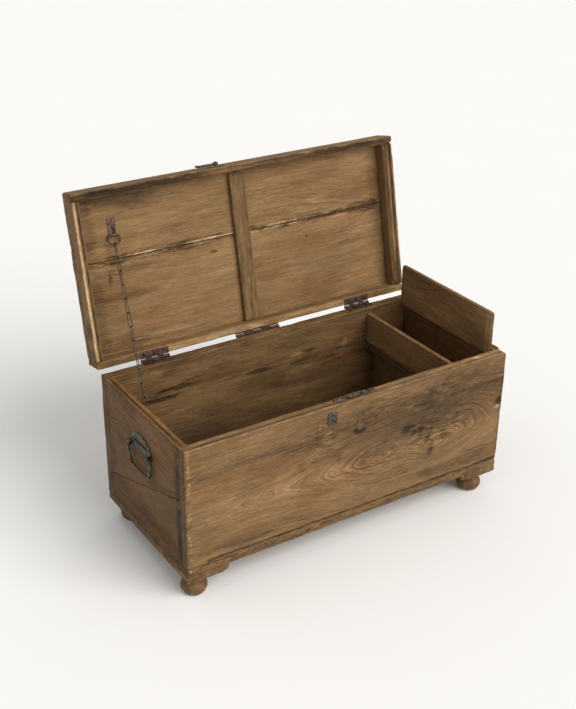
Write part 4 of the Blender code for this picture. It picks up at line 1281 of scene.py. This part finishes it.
def dome(name, place, direction, radius, height, material, body, seed, slot_cut=True):
    """A screw or nail head: a low worn dome, with a driver slot where it is a screw."""
    around, rows = 20, 5
    points, faces = [(0, 0, height)], []
    for i in range(1, rows + 1):
        angle = math.pi / 2 * i / rows
        for k in range(around):
            turn = 2 * math.pi * k / around
            points.append(
                (
                    radius * math.sin(angle) * math.cos(turn), radius * math.sin(angle) * math.sin(turn),
                    height * math.cos(angle),
                ),
            )
    for k in range(around):
        points.append(
            (points[1 + (rows - 1) * around + k][0], points[1 + (rows - 1) * around + k][1], -0.0006),
        )
    points.append((0, 0, -0.0006))
    points = np.array(points)
    if slot_cut:
        turn = seed * 0.7
        off = points[:, 0] * math.sin(turn) + points[:, 1] * math.cos(turn)
        points[:, 2] -= np.where((np.abs(off) < radius * 0.16) & (points[:, 2] > 0), height * 0.55, 0)
    for k in range(around):
        m = (k + 1) % around
        faces.append((0, 1 + k, 1 + m))
        for i in range(rows):
            a, b = 1 + i * around, 1 + (i + 1) * around
            faces.append((a + k, b + k, b + m, a + m))
        faces.append((1 + rows * around + m, 1 + rows * around + k, len(points) - 1))
    mesh = make_mesh(name, points, faces)
    obj = bpy.data.objects.new(name, mesh)
    bpy.context.scene.collection.objects.link(obj)
    obj.matrix_world = Matrix.Translation(
        place,
    ) @ Vector(direction).to_track_quat("Z", "Y").to_matrix().to_4x4()
    mesh.materials.append(material)
    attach(obj, body)
    return obj


def sweep(name, path, across, radius, material, body, seed):
    """A closed loop of forged wire in one plane, a little uneven along its length."""
    path = np.array([list(p) for p in path])
    ahead = np.roll(path, -1, 0) - np.roll(path, 1, 0)
    ahead /= np.linalg.norm(ahead, axis=1)[:, None]
    up = np.array(across.normalized())
    out = np.cross(ahead, up)
    around = 10
    turn = 2 * np.pi * np.arange(around) / around
    thick = radius * (1.0 - 0.22 * fbm(path, 140, seed))
    ring = np.cos(turn)[None, :, None] * up + np.sin(turn)[None, :, None] * out[:, None, :]
    points = (path[:, None, :] + ring * thick[:, None, None]).reshape(-1, 3)
    count = len(path)
    faces = []
    for i in range(count):
        j = (i + 1) % count
        for k in range(around):
            m = (k + 1) % around
            faces.append((i * around + k, i * around + m, j * around + m, j * around + k))
    obj = bpy.data.objects.new(name, make_mesh(name, points, faces))
    bpy.context.scene.collection.objects.link(obj)
    obj.data.materials.append(material)
    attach(obj, body)
    return obj


def make_chain(wire, ring_iron):
    """Each link is a long loop, narrower at its upper end, and half turned against the next."""
    bodies = frame["record"]["behaviour"]["bodies"]
    owner = {node: body for body, nodes in bodies.items() for node in nodes}
    spots = {}
    for number in range(1, 14):
        spots[number] = np.array([v.co for v in NODES[f"chain_link_{number:02d}"].data.vertices])
    top, bottom = Vector(spots[2].mean(0)), Vector(spots[12].mean(0))
    down = (bottom - top).normalized()
    crosswise = (Vector((1, 0, 0)) - down * down.x).normalized()
    for number, points in spots.items():
        along = (points - np.array(top)) @ np.array(down)
        start, end = along.min() + 0.0014, along.max() - 0.0014
        side = crosswise if number % 2 == 0 else down.cross(crosswise)
        twist = math.radians(-15 + 9 * math.sin(number * 2.3))
        side = side * math.cos(twist) + down.cross(side) * math.sin(twist)
        narrow, wide = LINK_NARROW, LINK_WIDE + 0.0003 * math.sin(number * 1.7)
        outline = []
        for i in range(11):
            angle = math.pi + math.pi * i / 10
            outline.append((narrow * math.cos(angle), start + narrow + narrow * math.sin(angle)))
        for share in (0.25, 0.5, 0.75):
            outline.append(
                (
                    narrow + (wide - narrow) * share - 0.0004 * math.sin(math.pi * share),
                    start + narrow + (end - start - narrow - wide) * share,
                ),
            )
        for i in range(11):
            angle = math.pi * i / 10
            outline.append((wide * math.cos(angle), end - wide + wide * math.sin(angle)))
        for share in (0.75, 0.5, 0.25):
            outline.append(
                (
                    -narrow - (wide - narrow) * share + 0.0004 * math.sin(math.pi * share),
                    start + narrow + (end - start - narrow - wide) * share,
                ),
            )
        path = [top + side * x + down * d for x, d in outline]
        node = f"chain_link_{number:02d}"
        loop = sweep(
            f"wire_link_{number:02d}", path, down.cross(side), LINK_WIRE, wire, owner[node],
            number,
        )
        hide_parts(node)

    axis = Vector(JOINTS["chain_ring_turn"]["pos_m"])
    drop = max((Vector(v.co) - axis).dot(down) for v in NODES["chain_ring"].data.vertices) - 0.0024
    path = []
    for i in range(48):
        angle = 2 * math.pi * i / 48
        power = 1.0 if math.sin(angle) > 0 else 0.66
        x = RING_HALF * math.copysign(abs(math.cos(angle)) ** power, math.cos(angle))
        path.append(
            axis + Vector((x, 0, 0)) + down * (
                drop / 2 + drop / 2 * math.copysign(abs(math.sin(angle)) ** power, math.sin(angle))
            ),
        )
    hoop = sweep(
        "iron_ring", path, Vector((1, 0, 0)).cross(down), RING_WIRE, ring_iron, owner["chain_ring"],
        40,
    )
    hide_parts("chain_ring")


def make_ironwork():
    """Hinges, lock, handles, hook and strap keep their CAD shape. The chain gets finer links."""
    rust = iron(
        "rusty_hinge_iron", (0.018, 0.011, 0.008), (0.052, 0.027, 0.018), (0.095, 0.042, 0.022),
        (0.36, 0.31, 0.27), offset=1.0,
    )
    lock = iron(
        "lock_iron", (0.018, 0.012, 0.013), (0.052, 0.036, 0.034), (0.17, 0.115, 0.072),
        (0.33, 0.27, 0.22), offset=2.0,
    )
    patina = iron(
        "handle_iron", (0.012, 0.012, 0.01), (0.045, 0.046, 0.036), (0.12, 0.105, 0.06),
        (0.5, 0.49, 0.43), metallic=0.8, offset=3.0,
        rough=(0.32, 0.66), bump=0.0005,
    )
    silver = iron(
        "hook_iron", (0.022, 0.021, 0.018), (0.095, 0.092, 0.08), (0.075, 0.06, 0.04),
        (0.55, 0.54, 0.49), metallic=0.75, offset=4.0,
        rough=(0.28, 0.6), bump=0.0005,
    )
    wire = iron(
        "chain_wire", (0.02, 0.016, 0.012), (0.085, 0.074, 0.058), (0.075, 0.046, 0.026),
        (0.46, 0.43, 0.38), metallic=0.7, offset=5.0,
        rough=(0.35, 0.65), bump=0.0003,
    )
    strap = iron(
        "strap_iron", (0.03, 0.017, 0.012), (0.09, 0.05, 0.032), (0.15, 0.078, 0.044),
        (0.42, 0.35, 0.28), offset=6.0, grain=260,
    )
    for side in ("left", "centre", "right"):
        for role in ("case", "lid"):
            dress(f"hinge_{side}_{role}_leaf", rust, bevel=0.0003)
    for node in ("lock_plate", "lock_case"):
        dress(node, lock, bevel=0.0004)
    dress("chain_pin", rust, bevel=0.0003)
    dress("chain_strap", strap, bevel=0.0006)
    dress("front_staple", silver, bevel=0.0004)
    dress("hook_post", silver, bevel=0.0003)
    dress("hook", silver, bevel=0.0003)
    for side in ("left", "right"):
        dress(f"{side}_handle_plate", patina, bevel=0.0005)
        dress(f"{side}_handle_bail", patina, subdivide=1)
    make_chain(wire, rust)
    plug = wood(
        "plug_wood", (0.0125, 0.004, 0.03), 41,
        {"tone": 0.56, "grey": 0.5, "edge": -0.06, "edge_width": 0.002, "dirt_and_shade": 0.0},
    )
    dress("keyhole_plug", plug)
    add_screws(rust, patina)


def add_screws(rust, patina):
    """Screws in the hinges and the lock, nails in the strap and the handle plates."""
    turn = LID.to_3x3()
    for side in ("left", "right"):
        low, high = node_box(f"hinge_{side}_case_leaf", CASE)
        lid_low = node_box(f"hinge_{side}_lid_leaf", LID)[0]
        for i, share in enumerate((0.16, 0.5, 0.84)):
            x = low.x + share * (high.x - low.x)
            place = CASE @ Vector((x, low.y + 0.0065, RIM - 0.0006))
            dome(
                f"hinge_{side}_screw_case_{i}", place, (0, 0, 1), 0.0026, 0.0008, rust, "case",
                i + 2,
            )
            place = LID @ Vector((x, lid_low.y + 0.0065, lid_low.z + 0.0002))
            dome(
                f"hinge_{side}_screw_lid_{i}", place, turn @ Vector((0, 0, -1)), 0.0026, 0.0008, rust,
                "lid", i + 5,
            )
    for i, x in enumerate((0.447, 0.495, 0.552)):
        dome(
            f"lock_screw_{i}", CASE @ Vector((x, 0.018, RIM - 0.0003)), (0, 0, 1), 0.0022, 0.0006, rust,
            "case", i,
        )
    low, high = node_box("chain_strap", LID)
    for i, share in enumerate((0.55, 0.85)):
        place = LID @ Vector(((low.x + high.x) / 2, high.y + (low.y - high.y) * share, low.z + 0.0066))
        dome(
            f"strap_nail_{i}", place, turn @ Vector((0, 0, -1)), 0.0028, 0.001, rust, "lid",
            i, slot_cut=False,
        )
    for side, face, sign in (("left", 0.0, -1), ("right", LENGTH, 1)):
        low, high = node_box(f"{side}_handle_plate", CASE)
        middle = (low.y + high.y) / 2
        for i, off in enumerate((-HANDLE_NAIL_OFFSET, HANDLE_NAIL_OFFSET)):
            place = CASE @ Vector((face + sign * 0.0022, middle + off, low.z + HANDLE_NAIL_HEIGHT))
            dome(
                f"{side}_handle_nail_{i}", place, (sign, 0, 0), 0.0034, 0.0016, patina, "case",
                i, slot_cut=False,
            )


def make_pegs():
    """Pale peg ends down the front board's left edge, each worn to its own shape."""
    g = Graph("peg_end_wood")
    place = g.add("ShaderNodeTexCoord").outputs["Object"]
    mottle = g.noise(place, (500, 500, 900), 3.0)
    colour = g.ramp(g.times_plus(mottle, 0.6, 0.38), TONES)
    peg = g.finish(colour, 0.7, 0.0, mottle, 0.0004)
    heights = (0.424, 0.391, 0.343, 0.191, 0.17, 0.123, 0.089)
    for i, z in enumerate(heights):
        size = 0.0034 + 0.0012 * ((i * 37) % 5) / 4
        place = CASE @ Vector((0.0085 + 0.0015 * ((i * 13) % 3), 0.0004, z))
        dome(f"peg_{i}", place, (0, -1, 0), size, 0.0007, peg, "case", i, slot_cut=False)


set_stage()
make_front()
make_back()
make_ends()
make_base()
make_till()
make_lid_boards()
make_lid_rails()
make_lid_crossbar()
make_feet()
make_ironwork()
make_pegs()
